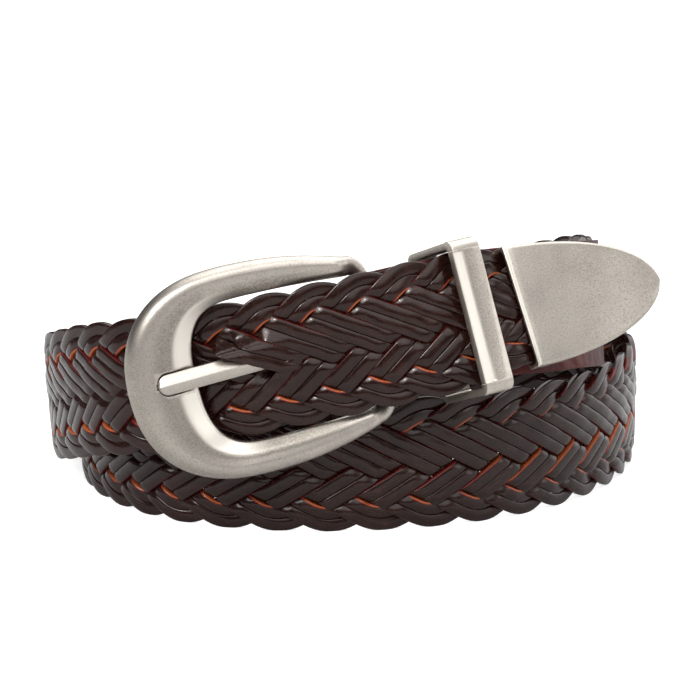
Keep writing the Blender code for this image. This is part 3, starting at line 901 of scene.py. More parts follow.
class Workshop:
    """Makes mesh pieces, sets them on the belt and reports them."""

    def raw(self, name: str, points: np.ndarray, faces: Faces, values: Values = None) -> Thing:
        """A bare mesh object with its faces turned outwards.

        Args:
            name: Its name.
            points: Its points.
            faces: Its faces as rows of point numbers.
            values: Values for each point that a material reads.

        Returns:
            The object.
        """
        mesh = bpy.data.meshes.new(name)
        mesh.from_pydata([tuple(point) for point in points], [], [tuple(face) for face in faces])
        for key, numbers in (values or {}).items():
            layer = mesh.attributes.new(key, "FLOAT", "POINT")
            layer.data.foreach_set("value", np.asarray(numbers, dtype=np.float32))
        work = bmesh.new()
        work.from_mesh(mesh)
        bmesh.ops.recalc_face_normals(work, faces=work.faces)
        work.to_mesh(mesh)
        work.free()
        return stand(name, mesh)

    def cut(self, target: Thing, cutter: Thing) -> None:
        """Takes the cutter's shape out of the target and removes the cutter.

        Args:
            target: The piece that is cut, at its own place.
            cutter: What is taken out of it.
        """
        modifier = target.modifiers.new("cut", "BOOLEAN")
        modifier.operation, modifier.solver, modifier.object = "DIFFERENCE", "EXACT", cutter
        bpy.context.view_layer.update()
        graph = bpy.context.evaluated_depsgraph_get()
        shape = bpy.data.meshes.new_from_object(target.evaluated_get(graph))
        target.modifiers.clear()
        target.data = shape
        bpy.data.objects.remove(cutter)

    def soften(self, target: Thing, width: float, angle: float, segments: int = 3) -> None:
        """Rounds a piece's edges.

        Args:
            target: The piece.
            width: How wide the rounding is.
            angle: Edges that turn by more degrees than this are rounded.
            segments: How finely.
        """
        modifier = target.modifiers.new("soft_edges", "BEVEL")
        modifier.width, modifier.segments = width, segments
        modifier.limit_method, modifier.angle_limit = "ANGLE", math.radians(angle)
        modifier.use_clamp_overlap = True
        modifier.harden_normals = False

    def tube(
        self, name: str, rings: np.ndarray, closed: bool = False, values: Values = None
    ) -> Thing:
        """A bare skin over rings of points.

        Args:
            name: Its name.
            rings: The rings, each with as many points.
            closed: Whether the last ring joins the first; otherwise both ends are capped.
            values: Values for each point that a material reads.

        Returns:
            The object.
        """
        count, sides = rings.shape[:2]
        return self.raw(name, rings.reshape(-1, 3), tube_faces(0, count, sides, closed), values)

    def hand_over(self, made: Thing, material: Material, slot: Slot, *nodes: str) -> Thing:
        """Dresses a piece and lets it stand for its CAD nodes.

        Args:
            made: The piece, in place.
            material: Its material.
            slot: The record's slot for its finish; not used.
            *nodes: The CAD nodes that it stands for.

        Returns:
            The piece.
        """
        made.data.materials.clear()
        made.data.materials.append(material)
        made.data.shade_smooth()
        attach(made, "root")
        if nodes:
            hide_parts(*nodes)
        mesh = made.data
        LOG.info("%s: %d points, %d faces", made.name, len(mesh.vertices), len(mesh.polygons))
        return made


@dataclass
class Passage:
    """Where the prong runs through the woven band, and which strips lie in front of it."""

    route: Route
    seat: Matrix
    prong: "Prong"
    reach: float = 112.0 * MM
    nearness: float = 0.2
    clear: float = 2.25 * MM
    half_width: float = 2.7 * MM
    spread: float = 3.4 * MM
    window: float = 10.0 * MM
    window_rings: int = 14

    def __post_init__(self) -> None:
        """Finds the prong's middle line in the band's own measures."""
        route, found = self.route, []
        near = route.lengths < self.reach
        for point in self.prong.middle_line():
            gaps = np.array(self.seat @ Vector(point)) - route.points[near]
            ahead = np.abs(np.sum(gaps * route.ways[near], axis=1))
            i = int(np.argmin(ahead + self.nearness * np.linalg.norm(gaps, axis=1)))
            found.append((route.lengths[i], gaps[i] @ route.ups[i], gaps[i] @ route.outs[i]))
        found.sort()
        self.line = np.array(found)

    def at(self, along: np.ndarray) -> tuple[np.ndarray, np.ndarray]:
        """The prong's height up the band and its place out of it at these arc lengths."""
        lengths, ups, outs = self.line.T
        return np.interp(along, lengths, ups), np.interp(along, lengths, outs)

    def make_way(
        self, along: np.ndarray, up: np.ndarray, out: np.ndarray, level: np.ndarray
    ) -> np.ndarray:
        """Lifts one strip over the prong or presses it behind it wherever they cross.

        Args:
            along: Arc lengths, one row for each section.
            up: Heights up the band.
            out: Places out of the band.
            level: The strip's own level at each section.

        Returns:
            The new places out of the band.
        """
        made = out.copy()
        middle = along.mean(axis=1)
        prong_up, prong_out = self.at(middle)
        side = np.sign(up.mean(axis=1) - prong_up)
        inside = (middle > self.line[0, 0]) & (middle < self.line[-1, 0])
        for i in np.nonzero((side[1:] != side[:-1]) & inside[1:])[0]:
            rows = np.nonzero(np.abs(middle - middle[i]) < self.window)[0]
            rows = rows[np.abs(rows - i) < self.window_rings]
            line_up, line_out = self.at(along[rows])
            aside = np.abs(up[rows] - line_up)
            near = 1 - smoothstep(aside, self.half_width, self.half_width + self.spread)
            onto_line = out[rows] - level[rows, None] + line_out
            if prong_out[i] < level[i]:
                wanted = np.maximum(out[rows], onto_line + self.clear)
            else:
                wanted = np.minimum(out[rows], onto_line - self.clear)
            made[rows] += (wanted - out[rows]) * near
        return made


@dataclass
class Braid:
    """The woven band: eight strands of two strips each, plaited flat from edge to edge."""

    route: Route
    strands: int = 8
    strip_width: float = 2.80 * MM
    strip_thickness: float = 1.42 * MM
    strip_crown: float = 0.14 * MM
    corner: float = 0.20 * MM
    pair_gap: float = 0.06 * MM
    skew: float = 0.105
    weave_reach: float = 13.55 * MM
    turn_share: float = 0.43
    level: float = 0.98 * MM
    edge_thinning: float = 0.22
    pitch: float = 11.1 * MM
    pulls: tuple[Pair, ...] = (
        (0, 0.6), (6, 61.5), (9, 94.8), (10, 104.6), (35, 383.5),
        (38, 417.6), (41, 452.7), (44, 486.8), (47, 516.9), (74, 803.8),
    )  # fmt: skip
    crossing_ease: float = 0.60
    samples: int = 12
    tip_inset: float = 3.0 * MM
    tip_run: float = 0.6
    tip_half_width: float = 12.2 * MM
    tip_half_thickness: float = 1.8 * MM
    tongue: float = 11.0 * MM
    tongue_half_width: float = 11.9 * MM
    tongue_half_thickness: float = 1.0 * MM
    taper_end: float = 1.0 * MM
    taper_run: float = 9.0 * MM
    over: tuple[float, ...] = (0, 1, -1, -1, 0.92, 1.18, 0.92, -1, 0)
    own_rows: Pair = (2.9, 3.6)
    bare_rows: Pair = (2.2, 3.0)
    pair_cut: float = 0.55
    free_cut: float = 0.80
    outer_share: float = 0.3
    bare_start: Pair = (300.0 * MM, 335.0 * MM)
    bare_end: Pair = (400.0 * MM, 475.0 * MM)
    bare_height: float = 4.0 * MM
    bare_cut: float = 0.75
    rim_darkening: float = 0.8
    rim_start: float = 11.8 * MM
    streak_run: float = 1.3

    def crowns(self) -> tuple[np.ndarray, np.ndarray]:
        """How the scallops follow each other, pulled closer in some stretches than in others.

        Returns:
            The scallops' numbers and their arc lengths.
        """
        rows = np.array(self.pulls)
        curve = monotone_curve(rows[:, 0], rows[:, 1] * MM)
        order = np.arange(-2.0, rows[-1, 0], 0.25)
        before = rows[0, 1] * MM + order * (rows[1, 1] - rows[0, 1]) * MM / rows[1, 0]
        return order, np.where(order < 0, before, curve(np.maximum(order, 0.0)))

    def section(self) -> tuple[np.ndarray, np.ndarray, np.ndarray]:
        """A strip's outline.

        Returns:
            The outline's places across the strip, its heights, and how far each point is cut edge.
        """
        half, thick = self.strip_width / 2, self.strip_thickness / 2
        corner, crown = self.corner, self.strip_crown
        side = [
            (half, thick - corner, 1.0),
            (half - corner * 0.5, thick - corner * 0.25, 0.5),
            (half - corner * 1.4, thick + crown * 0.1, 0.0),
            (half * 0.42, thick + crown * 0.85, 0.0),
        ]
        upper = [(-across, height, cut) for across, height, cut in side]
        upper += [(0.0, thick + crown, 0.0), *reversed(side)]
        lower = [(across, -height, cut) for across, height, cut in reversed(upper)]
        across, height, cut = np.array(upper + lower).T
        return across, height, cut

    def heights(self, row: np.ndarray) -> np.ndarray:
        """How far a strand that runs down to the right lies over (1) or under (-1) its crossing.

        Args:
            row: Which crossing, from -4 at the lower turn to 4 at the upper.

        Returns:
            The shares of the full level.
        """
        table = np.array(self.over, dtype=float)
        last, half = self.strands - 1, self.strands / 2
        spot = np.clip(row, -half, half) + half
        first = np.clip(np.floor(spot).astype(int), 0, last)
        share = spot - first
        eased = smoothstep(share, 0.5 - self.crossing_ease / 2, 0.5 + self.crossing_ease / 2)
        leaving, coming = np.sin(share * math.pi / 2), 1 - np.sin((1 - share) * math.pi / 2)
        at_turn = (first == 0) | (first == last)
        eased = np.where(at_turn, np.where(first == 0, leaving, coming), eased)
        return table[first] * (1 - eased) + table[first + 1] * eased

    def strip(self, strand: int, side: float) -> tuple[np.ndarray, int]:
        """One strip's surface.

        Args:
            strand: The strand's number.
            side: Where the strip lies in its strand, -1 or 1.

        Returns:
            Seven rows for the points (arc length, height up the band, place out of it, share of
            cut edge, level, run along the strip, place across it), and how many rings there are.
        """
        order, crowns = self.crowns()
        first = np.interp(-self.tip_inset, crowns, order)
        last = np.interp(self.route.tab_mouth + self.tongue, crowns, order)
        count = int((last - first) * self.samples)
        run = -np.linspace(first, last, count)
        cycle = np.mod(run - strand, self.strands)
        quarter, half = self.strands / 4, self.strands / 2
        turn = np.where(cycle < quarter, 0.0, np.where(cycle < 3 * quarter, half, 2 * half))
        sign = np.where(turn == half, -1.0, 1.0)
        off = np.abs(cycle - turn)
        rounded = off < self.turn_share
        bend = self.turn_share
        lost = np.where(rounded, (off**2 + bend**2) / (2 * quarter * bend), off / quarter)
        rise = sign * (1 - lost)
        steep = np.where(rounded, off / (quarter * bend), 1 / quarter)
        slope = -sign * np.sign(cycle - turn) * steep
        reach = self.weave_reach
        length = np.hypot(self.pitch, reach * slope)
        across, height, cut = self.section()
        aside = side * (self.strip_width + self.pair_gap) / 2 + across[None, :]
        shift = -aside * (reach * slope / length)[:, None]
        up = reach * rise[:, None] + aside * (self.pitch / length)[:, None]
        spot_run = run[:, None] + shift / self.pitch
        spot_up = up / reach
        number = (run - cycle)[:, None]
        falling = (cycle < half)[:, None]
        passed = spot_run - number
        row_wide = np.where(falling, quarter - passed, passed - 3 * quarter) + quarter * spot_up
        row_own = half * (sign * (1 - off / quarter))[:, None]
        near_turn = smoothstep(np.abs(row_own), *self.own_rows)
        row = row_wide * (1 - near_turn) + row_own * near_turn
        lifted = self.heights(row) * np.where(falling, 1.0, -1.0)
        thin = 1 - self.edge_thinning * np.abs(spot_up) ** 3
        level = lifted * self.level * thin
        out = level + height[None, :]
        along = np.interp(-run, order, crowns)[:, None] - shift + self.skew * up
        ways = (side, sign[:, None], row_own, falling)
        cuts = self.cuts(along, up, cut, across, ways)
        own_run = np.broadcast_to(self.pitch * run[:, None] * self.streak_run, along.shape)
        own_across = np.broadcast_to(across[None, :] + (2 * strand + side) * reach, along.shape)
        return np.stack([along, up, out, cuts, level, own_run, own_across]).reshape(7, -1), count

    def cuts(
        self,
        along: np.ndarray,
        up: np.ndarray,
        cut: np.ndarray,
        across: np.ndarray,
        ways: tuple[float, np.ndarray, np.ndarray, np.ndarray],
    ) -> np.ndarray:
        """How much raw cut edge shows at a strip's points.

        Args:
            along: Their arc lengths.
            up: Their heights up the band.
            cut: How far each point of the outline is cut edge.
            across: The outline's places across the strip.
            ways: The strip's side in its strand, the half of the band that its next turn lies in,
                the crossing that each section is at, and whether it runs down to the right there.

        Returns:
            The share of cut edge at each point.
        """
        side, sign, row_own, falling = ways
        facing = np.sign(across[None, :])
        at_rim = smoothstep(np.abs(up), self.rim_start, self.route.band_width / 2)
        darkened = 1 - self.rim_darkening * at_rim
        shown = cut[None, :] * np.where(facing * side < 0, self.pair_cut, self.free_cut) * darkened
        outer_part = (np.abs(across) > self.strip_width * self.outer_share)[None, :]
        inside_turn = (facing * sign < 0) & (side == -sign) & outer_part
        at_turn = smoothstep(np.abs(row_own), *self.bare_rows)
        shown = np.maximum(shown, np.where(inside_turn, at_turn, 0.0))
        bare = window(along, self.bare_start, self.bare_end)
        bare = bare * (1 - smoothstep(up, 0.0, self.bare_height))
        rising_edge = ~falling & (facing > 0) & (side > 0) & outer_part
        raw = bare * np.minimum(cut[None, :] + self.bare_cut, 1.0)
        return np.maximum(shown, np.where(rising_edge, raw, 0.0))

    def fit(
        self, along: np.ndarray, up: np.ndarray, out: np.ndarray
    ) -> tuple[np.ndarray, np.ndarray]:
        """Presses the weave narrower and thinner where it goes into the tip and the tab.

        Args:
            along: Arc lengths.
            up: Heights up the band.
            out: Places out of the band.

        Returns:
            The new heights and places.
        """
        near_tip = 1 - smoothstep(along, 0.0, self.pitch * self.tip_run)
        near_tab = 1 - smoothstep(self.route.tab_mouth - along, self.taper_end, self.taper_run)
        half_width, half_thickness = self.route.band_width / 2, self.route.band_thickness / 2
        wide = 1 + (self.tip_half_width / half_width - 1) * near_tip
        wide += (self.tongue_half_width / half_width - 1) * near_tab
        thick = 1 + (self.tip_half_thickness / half_thickness - 1) * near_tip
        thick += (self.tongue_half_thickness / half_thickness - 1) * near_tab
        return up * wide, out * thick

    def build(self, shop: Workshop, material: Material, passage: Passage) -> list[Thing]:
        """Makes the eight strands.

        Args:
            shop: Makes the pieces.
            material: The strips' material.
            passage: Where the prong goes through.

        Returns:
            The strands.
        """
        sides = len(self.section()[0])
        names = ("cut_edge", "strip_along", "strip_across")
        made = []
        for strand in range(self.strands):
            points, faces, values = [], [], []
            for side in (-1.0, 1.0):
                (along, up, out, cuts, level, *runs), count = self.strip(strand, side)
                grid = [rows.reshape(count, -1) for rows in (along, up, out, level)]
                shaped = passage.make_way(*grid[:3], grid[3].mean(axis=1))
                up, out = self.fit(along, up, shaped.ravel())
                faces += tube_faces(sum(len(block) for block in points), count, sides)
                points.append(self.route.spots(along, up, out))
                values.append((cuts, *runs))
            carried = {name: np.concatenate(parts) for name, parts in zip(names, zip(*values))}
            name = f"braid_strand_{strand + 1}"
            shape = shop.raw(name, np.concatenate(points), faces, carried)
            made.append(shop.hand_over(shape, material, Slot.BRAID, "braided_strap"))
        return made


@dataclass
class Prong:
    """A strip of metal looped round the bar that thickens into a ridged shank with a round end."""

    width: float = 4.4 * MM
    thickness: float = 2.7 * MM
    offset: float = 1.3 * MM
    strip: float = 1.6 * MM
    reach: float = 48.0 * MM
    lift: float = 4.8 * MM
    start: float = 6.2 * MM
    start_lift: float = -0.3 * MM
    loop_radius: float = 2.6 * MM
    loop_start: float = 22.0
    loop_end: float = 310.0
    edge_round: float = 0.28 * MM
    edge_angle: float = 22.0
    # A painted highlight over the whole prong.
    painted_highlight: float = 0.28
    loop_steps: int = 37
    leaving_steps: int = 9
    leaving_span: Pair = (0.1, 0.9)
    shank_steps: int = 14
    shank_end: float = 0.97
    line_start: float = -0.05
    nose_degrees: tuple[float, ...] = (0, 12, 24, 36, 48, 58, 66, 73, 79, 84)
    section: tuple[Pair, ...] = (
        (-1, 0.15), (-0.3, 0.8), (0, 1), (0.3, 0.8), (1, 0.15),
        (1, -0.7), (0.75, -1), (-0.75, -1), (-1, -0.7),
    )  # fmt: skip

    def _ends(self) -> tuple[np.ndarray, np.ndarray, np.ndarray, float]:
        """Where the shank runs.

        Returns:
            Its start, its end, the way along it and its straight length.
        """
        start, end = np.array([self.start, self.start_lift]), np.array([self.reach, self.lift])
        way = (end - start) / np.linalg.norm(end - start)
        return start, end, way, float(np.linalg.norm(end - start)) - self.width / 2

    def stations(self) -> list[tuple[np.ndarray, np.ndarray, float, float]]:
        """The prong's sections from the loop's end to the nose.

        Returns:
            Place, way, half thickness and half width of each.
        """
        found = []
        for degrees in np.linspace(-self.loop_start, -self.loop_end, self.loop_steps):
            turned = math.radians(degrees)
            spot = np.array([math.cos(turned), math.sin(turned)]) * self.loop_radius
            way_round = np.array([math.sin(turned), -math.cos(turned)])
            found.append((spot, way_round, self.strip / 2, self.width / 2))
        start, _, way, straight = self._ends()
        first = blend(self.strip, self.thickness, 0.5) / 2
        leave, run = found[-1], float(np.linalg.norm(start - found[-1][0]))
        for share in np.linspace(*self.leaving_span, self.leaving_steps):
            ease, left = float(smoothstep(share)), 1 - share
            spot = leave[0] + (start - leave[0]) * ease + leave[1] * run * share * left * left
            spot = spot - way * run * share * share * left
            turn = leave[1] + (way - leave[1]) * ease
            half = blend(leave[2], first, ease)
            found.append((spot, turn / np.linalg.norm(turn), half, self.width / 2))
        for share in np.linspace(0.0, self.shank_end, self.shank_steps):
            half = blend(self.strip, self.thickness, (1 + share) / 2) / 2
            found.append((start + way * straight * share, way, half, self.width / 2))
        for degrees in self.nose_degrees:
            turned = math.radians(degrees)
            half = self.thickness / 4 * (1 + math.cos(turned))
            spot = start + way * (straight + self.width / 2 * math.sin(turned))
            found.append((spot, way, half, self.width / 2 * math.cos(turned)))
        return found

    def ring(
        self, station: tuple[np.ndarray, np.ndarray, float, float], extra: float = 0.0
    ) -> list[Triple]:
        """One section's points, grown by a gap where it cuts.

        Args:
            station: Place, way, half thickness and half width.
            extra: The gap.

        Returns:
            The points in the buckle's own frame.
        """
        spot, way, half, half_width = station
        out = np.array([-way[1], way[0]])
        points = []
        for across, up in self.section:
            point = spot + out * up * (half + extra)
            points.append((-point[0], self.offset + across * (half_width + extra), point[1]))
        return points

    def middle_line(self, count: int = 60) -> np.ndarray:
        """The shank's middle line in the buckle's own frame.

        Args:
            count: How many points.

        Returns:
            One row for each point.
        """
        start, end, _, _ = self._ends()
        line = start + (end - start) * np.linspace(self.line_start, 1.0, count)[:, None]
        return np.column_stack([-line[:, 0], np.full(count, self.offset), line[:, 1]])

    def notch(self, shop: Workshop, seat: Matrix, gap: float) -> Thing:
        """The room that the shank's end needs in the frame.

        Args:
            shop: Makes the mesh.
            seat: The buckle's place.
            gap: The gap all round.

        Returns:
            The cutter.
        """
        _, _, way, _ = self._ends()
        stations = self.stations()[-self.shank_steps - len(self.nose_degrees) :]
        spot, _, half, half_width = stations[-1]
        stations.append((spot + way * gap, way, half, half_width))
        made = shop.tube("notch", np.array([self.ring(station, gap) for station in stations]))
        made.matrix_world = seat
        return made

    def build(self, shop: Workshop, seat: Matrix, material: Material) -> Thing:
        """Makes the prong.

        Args:
            shop: Makes the pieces.
            seat: The buckle's place.
            material: Its metal.

        Returns:
            The prong.
        """
        rings = np.array([self.ring(station) for station in self.stations()])
        # The prong carries its painted highlight.
        values = {"painted_highlight": np.full(rings.shape[0] * rings.shape[1], self.painted_highlight)}
        made = shop.tube("buckle_prong_cast", rings, values=values)
        made.matrix_world = seat
        shop.soften(made, self.edge_round, self.edge_angle)
        return shop.hand_over(made, material, Slot.METAL, "buckle_prong")


@dataclass
class Frame:
    """The domed horseshoe frame with a broad bevel towards its opening and a round bar."""

    bar_radius: float = 1.5 * MM
    bar_half: float = 13.9 * MM
    length: float = 54.6 * MM
    half_height: float = 23.0 * MM
    belly: float = 30.0 * MM
    arm_end_half: float = 18.7 * MM
    arm_end_width: float = 4.3 * MM
    arm_end_setback: float = 3.6 * MM
    opening_length: float = 39.6 * MM
    opening_half: float = 15.6 * MM
    edge: float = 1.2 * MM
    arm_dome: float = 2.0 * MM
    head_dome: float = 3.4 * MM
    arm_rise: float = 2.7 * MM
    head_rise: float = 1.2 * MM
    outer_fullness: float = 2.3
    opening_fullness: float = 2.8
    arm_flare: float = 2.2
    back_softness: float = 0.45
    sides: int = 44
    steps: int = 5
    arm_bevel: float = 0.6
    notch_gap: float = 0.4 * MM
    edge_round: float = 0.16 * MM
    edge_angle: float = 38.0
    head_start: float = 0.9
    arm_full: float = 0.5
    bevel_starts: Pair = (-0.99, -0.93)
    bevel_ends: Pair = (-0.50, -0.40)
    valley_starts: Pair = (-0.46, -0.34)
    valley_ends: Pair = (-0.05, 0.30)
    inner_ends: Pair = (-0.35, -0.05)
    # Painted shade on the arms' inner side, the head's rim and its valley, laid as speckled
    # tarnish.
    rim_starts: Pair = (0.30, 0.75)
    inner_painted_shade: float = 0.8
    rim_darkening: float = 0.5
    valley_painted_shade: float = 0.5
    bar_shares: tuple[float, ...] = (0.0, 0.45, 0.9)
    corner_degrees: tuple[float, ...] = (170, 150, 130, 110, 95)
    arm_shares: tuple[float, ...] = (0.14, 0.3, 0.46, 0.62, 0.8)
    head_degrees: tuple[float, ...] = (90, 79, 68, 57, 46, 35, 24, 12, 0)
    profile: tuple[Pair, ...] = (
        (-1.0, 0.0), (-0.99, 0.22), (-0.96, 0.30), (-0.93, 0.32), (-0.42, 0.84),
        (-0.36, 0.87), (-0.28, 0.86), (-0.08, 0.90), (0.20, 0.98), (0.38, 1.0),
        (0.62, 0.92), (0.82, 0.68), (0.94, 0.40), (1.0, 0.0),
    )  # fmt: skip

    def outline(self) -> np.ndarray:
        """The outline of the upper half, from the bar to the frame's head.

        Returns:
            One inner and one outer point in each row.
        """
        pairs = []
        for share in self.bar_shares:
            across = self.bar_half * share
            pairs.append((self.bar_radius, across, -self.bar_radius, across))
        corner = (self.arm_end_setback, self.bar_half - self.bar_radius / 2)
        outer_rise = self.arm_end_half - corner[1]
        inner_rise = outer_rise - self.arm_end_width
        for degrees in self.corner_degrees:
            inner = bulge(corner, (corner[0] - self.bar_radius, inner_rise), degrees)
            outer = bulge(corner, (corner[0] + self.bar_radius, outer_rise), degrees)
            pairs.append((*inner, *outer))
        opening_belly = self.belly - (self.length - self.opening_length) / 6
        for share in self.arm_shares:
            left = (1 - share) ** self.arm_flare
            inner_height = blend(self.opening_half, corner[1] + inner_rise, left)
            outer_height = blend(self.half_height, self.arm_end_half, left)
            inner = (blend(corner[0], opening_belly, share), inner_height)
            pairs.append((*inner, blend(corner[0], self.belly, share), outer_height))
        opening_reach = (self.opening_length - opening_belly, self.opening_half)
        outer_reach = (self.length - self.belly, self.half_height)
        for degrees in self.head_degrees:
            inner = bulge((opening_belly, 0), opening_reach, degrees, self.opening_fullness)
            outer = bulge((self.belly, 0), outer_reach, degrees, self.outer_fullness)
            pairs.append((*inner, *outer))
        return np.array(pairs)

    def _circle(self) -> tuple[np.ndarray, np.ndarray]:
        """How far outwards and how far forwards a section's points lie on a circle."""
        turned = math.tau * (np.arange(self.sides) + 0.5) / self.sides
        return np.cos(turned), np.sin(turned)

    def ring(self, row: np.ndarray) -> np.ndarray:
        """One section: round at the bar, domed with a bevel and a flat back on the arms and head.

        Args:
            row: The inner and the outer outline point.

        Returns:
            The section's points in the buckle's own frame.
        """
        middle, reach = (row[:2] + row[2:]) / 2, (row[2:] - row[:2]) / 2
        from_bar = float(smoothstep(middle[0], 0.0, self.arm_end_setback + self.bar_radius))
        head_middle = (self.opening_length + self.length) / 2
        to_head = float(smoothstep(middle[0], self.arm_end_setback, head_middle))
        rise = from_bar * blend(self.arm_rise, self.head_rise, to_head)
        dome = blend(self.bar_radius, blend(self.arm_dome, self.head_dome, to_head), from_bar)
        back = blend(self.bar_radius, self.edge, from_bar)
        softness = blend(1.0, self.back_softness, from_bar)
        across, up = self._circle()
        table = np.array(self.profile)
        bevelled = np.interp(across, table[:, 0], table[:, 1])
        shaped = blend(up, bevelled, from_bar * blend(self.arm_bevel, 1.0, to_head))
        height = rise + np.where(up > 0, dome * shaped, -back * np.abs(up) ** softness)
        spot = middle + reach * across[:, None]
        return np.column_stack([-spot[:, 0], spot[:, 1], height])

    def wear_and_painted_light(self, row: np.ndarray) -> tuple[np.ndarray, np.ndarray]:
        """How much painted highlight and painted shade a section gets.

        The head's bevel gets a painted highlight. Its valley, its rim and the arms' inner side get
        painted shade, laid as speckled tarnish.

        Args:
            row: The inner and the outer outline point.

        Returns:
            The shares of painted highlight and of painted shade at the section's points.
        """
        across, up = self._circle()
        front = up > 0
        middle = (row[0] + row[2]) / 2
        head = float(smoothstep(middle, self.belly * self.head_start, self.opening_length))
        arm = float(smoothstep(middle, self.arm_end_setback, self.belly * self.arm_full))
        arm *= 1 - head
        bevel = window(across, self.bevel_starts, self.bevel_ends) * front
        inner = (1 - smoothstep(across, *self.inner_ends)) * front
        rim = smoothstep(across, *self.rim_starts) * head
        valley = window(across, self.valley_starts, self.valley_ends) * front * head
        darkened = np.maximum(inner * arm * self.inner_painted_shade, rim * self.rim_darkening)
        darkened = np.maximum(darkened, valley * self.valley_painted_shade)
        return bevel * head, darkened

    def build(self, shop: Workshop, seat: Matrix, prong: Prong, material: Material) -> Thing:
        """Makes the frame with the notch for the prong.

        Args:
            shop: Makes the pieces.
            seat: The buckle's place.
            prong: What lies in the notch.
            material: The metal.

        Returns:
            The frame.
        """
        upper = self.outline()
        lower = upper[-2:0:-1] * (1, -1, 1, -1)
        rows = closed_curve(np.concatenate([upper, lower]), self.steps)
        rings = np.array([self.ring(row) for row in rows])
        # Painted light: a painted highlight on the head's bevel and painted shade on its valley,
        # rim and the arms' inner side.
        wear_and_painted_light = zip(*(self.wear_and_painted_light(row) for row in rows))
        painted_highlight, darkened = (np.concatenate(shares) for shares in wear_and_painted_light)
        values = {"painted_highlight": painted_highlight, "darkened": darkened}
        made = shop.tube("buckle_frame_cast", rings, closed=True, values=values)
        made.matrix_world = seat
        shop.cut(made, prong.notch(shop, seat, self.notch_gap))
        shop.soften(made, self.edge_round, self.edge_angle, segments=2)
        return shop.hand_over(made, material, Slot.METAL, "buckle_frame")


@dataclass
class Keeper:
    """A closed metal loop whose front bar has a sunk cove beside its flat band."""

    route: Route
    width: float = 6.7 * MM
    height: float = 30.5 * MM
    depth: float = 16.3 * MM
    wall: float = 1.5 * MM
    face: float = 2.3 * MM
    corner: float = 0.8 * MM
    cove: float = 0.6 * MM
    cove_end: float = 0.3 * MM
    bearing: float = -69.6
    sink: float = 0.5 * MM
    skew: float = 16.0
    roll: float = 2.0
    edge_round: float = 0.22 * MM
    edge_angle: float = 35.0
    half_leather: float = 0.75 * MM
    cove_side: float = -0.2
    # Painted light: a painted highlight in the cove and painted shade on the flat band.
    cove_painted_highlight: float = 0.75
    band_painted_shade: float = 0.45
    bend_steps: int = 6
    section: tuple[Pair, ...] = (
        (-1.0, 0.5), (-0.64, 0.75), (-0.28, 1.0), (-0.16, 0.15), (0.4, 0.08), (1.0, 0.0),
    )  # fmt: skip

    def seat(self) -> Matrix:
        """The keeper's place round the doubled leather.

        Returns:
            The place as a matrix.
        """
        route = self.route
        strap = route.place(route.length_at(self.bearing))
        stack = route.band_thickness / 2 + route.stack_step + route.tab_offset + self.half_leather
        centre = strap @ Vector((0, 0, (route.band_thickness - stack) / 2 - self.sink))
        turn = strap.to_3x3().to_4x4() @ Matrix.Rotation(math.radians(self.skew), 4, "Y")
        return Matrix.Translation(centre) @ turn @ Matrix.Rotation(math.radians(-self.roll), 4, "X")

    def stations(self) -> list[tuple[float, float, Pair, float, float]]:
        """The loop's bends, round from its front bar.

        Returns:
            Depth, height, way outwards, wall and cove of each.
        """
        bends = []
        for side_depth, side_height, first in ((1, 1, 0), (-1, 1, 90), (-1, -1, 180), (1, -1, 270)):
            depth = side_depth * (self.depth / 2 - self.corner)
            height = side_height * (self.height / 2 - self.corner)
            for degrees in np.linspace(0, 90, self.bend_steps):
                turned = math.radians(first + degrees)
                way = (math.cos(turned), math.sin(turned))
                front = max(way[0], 0.0) if side_depth > 0 else 0.0
                bends.append((depth, height, way, blend(self.wall, self.face, front), 0.0))
        front_depth = self.depth / 2 - self.corner
        top = self.height / 2 - self.corner - self.cove_end
        for height in (top, -top):
            cove = (front_depth, height, (1.0, 0.0), self.face, self.cove)
            beyond = height + math.copysign(self.cove_end, height)
            step = (front_depth, beyond, (1.0, 0.0), self.face, 0.0)
            bends = [step, cove, *bends] if height < 0 else [cove, step, *bends]
        return bends

    def build(self, shop: Workshop, material: Material) -> Thing:
        """Makes the keeper.

        Args:
            shop: Makes the pieces.
            material: The metal.

        Returns:
            The keeper.
        """
        half, rings, shares = self.width / 2, [], []
        for depth, height, way, wall, cove in self.stations():
            ring, share = [], []
            for across, sink in self.section:
                out = self.corner + wall - cove * sink
                ring.append((across * half, height + way[1] * out, depth + way[0] * out))
                # The cove gets a painted highlight and the flat band painted shade.
                in_cove = across < self.cove_side
                marks = (self.cove_painted_highlight, 0.0) if in_cove else (0.0, self.band_painted_shade)
                share.append(marks if cove else (0.0, 0.0))
            inner = (height + way[1] * self.corner, depth + way[0] * self.corner)
            rings.append(ring + [(across, *inner) for across in (half, 0.0, -half)])
            shares += share + [(0.0, 0.0)] * 3
        painted_highlight, darkened = np.array(shares).T
        values = {"painted_highlight": painted_highlight, "darkened": darkened}
        made = shop.tube("keeper_loop_cast", np.array(rings), closed=True, values=values)
        made.matrix_world = self.seat()
        shop.soften(made, self.edge_round, self.edge_angle)
        return shop.hand_over(made, material, Slot.METAL, "keeper_loop")


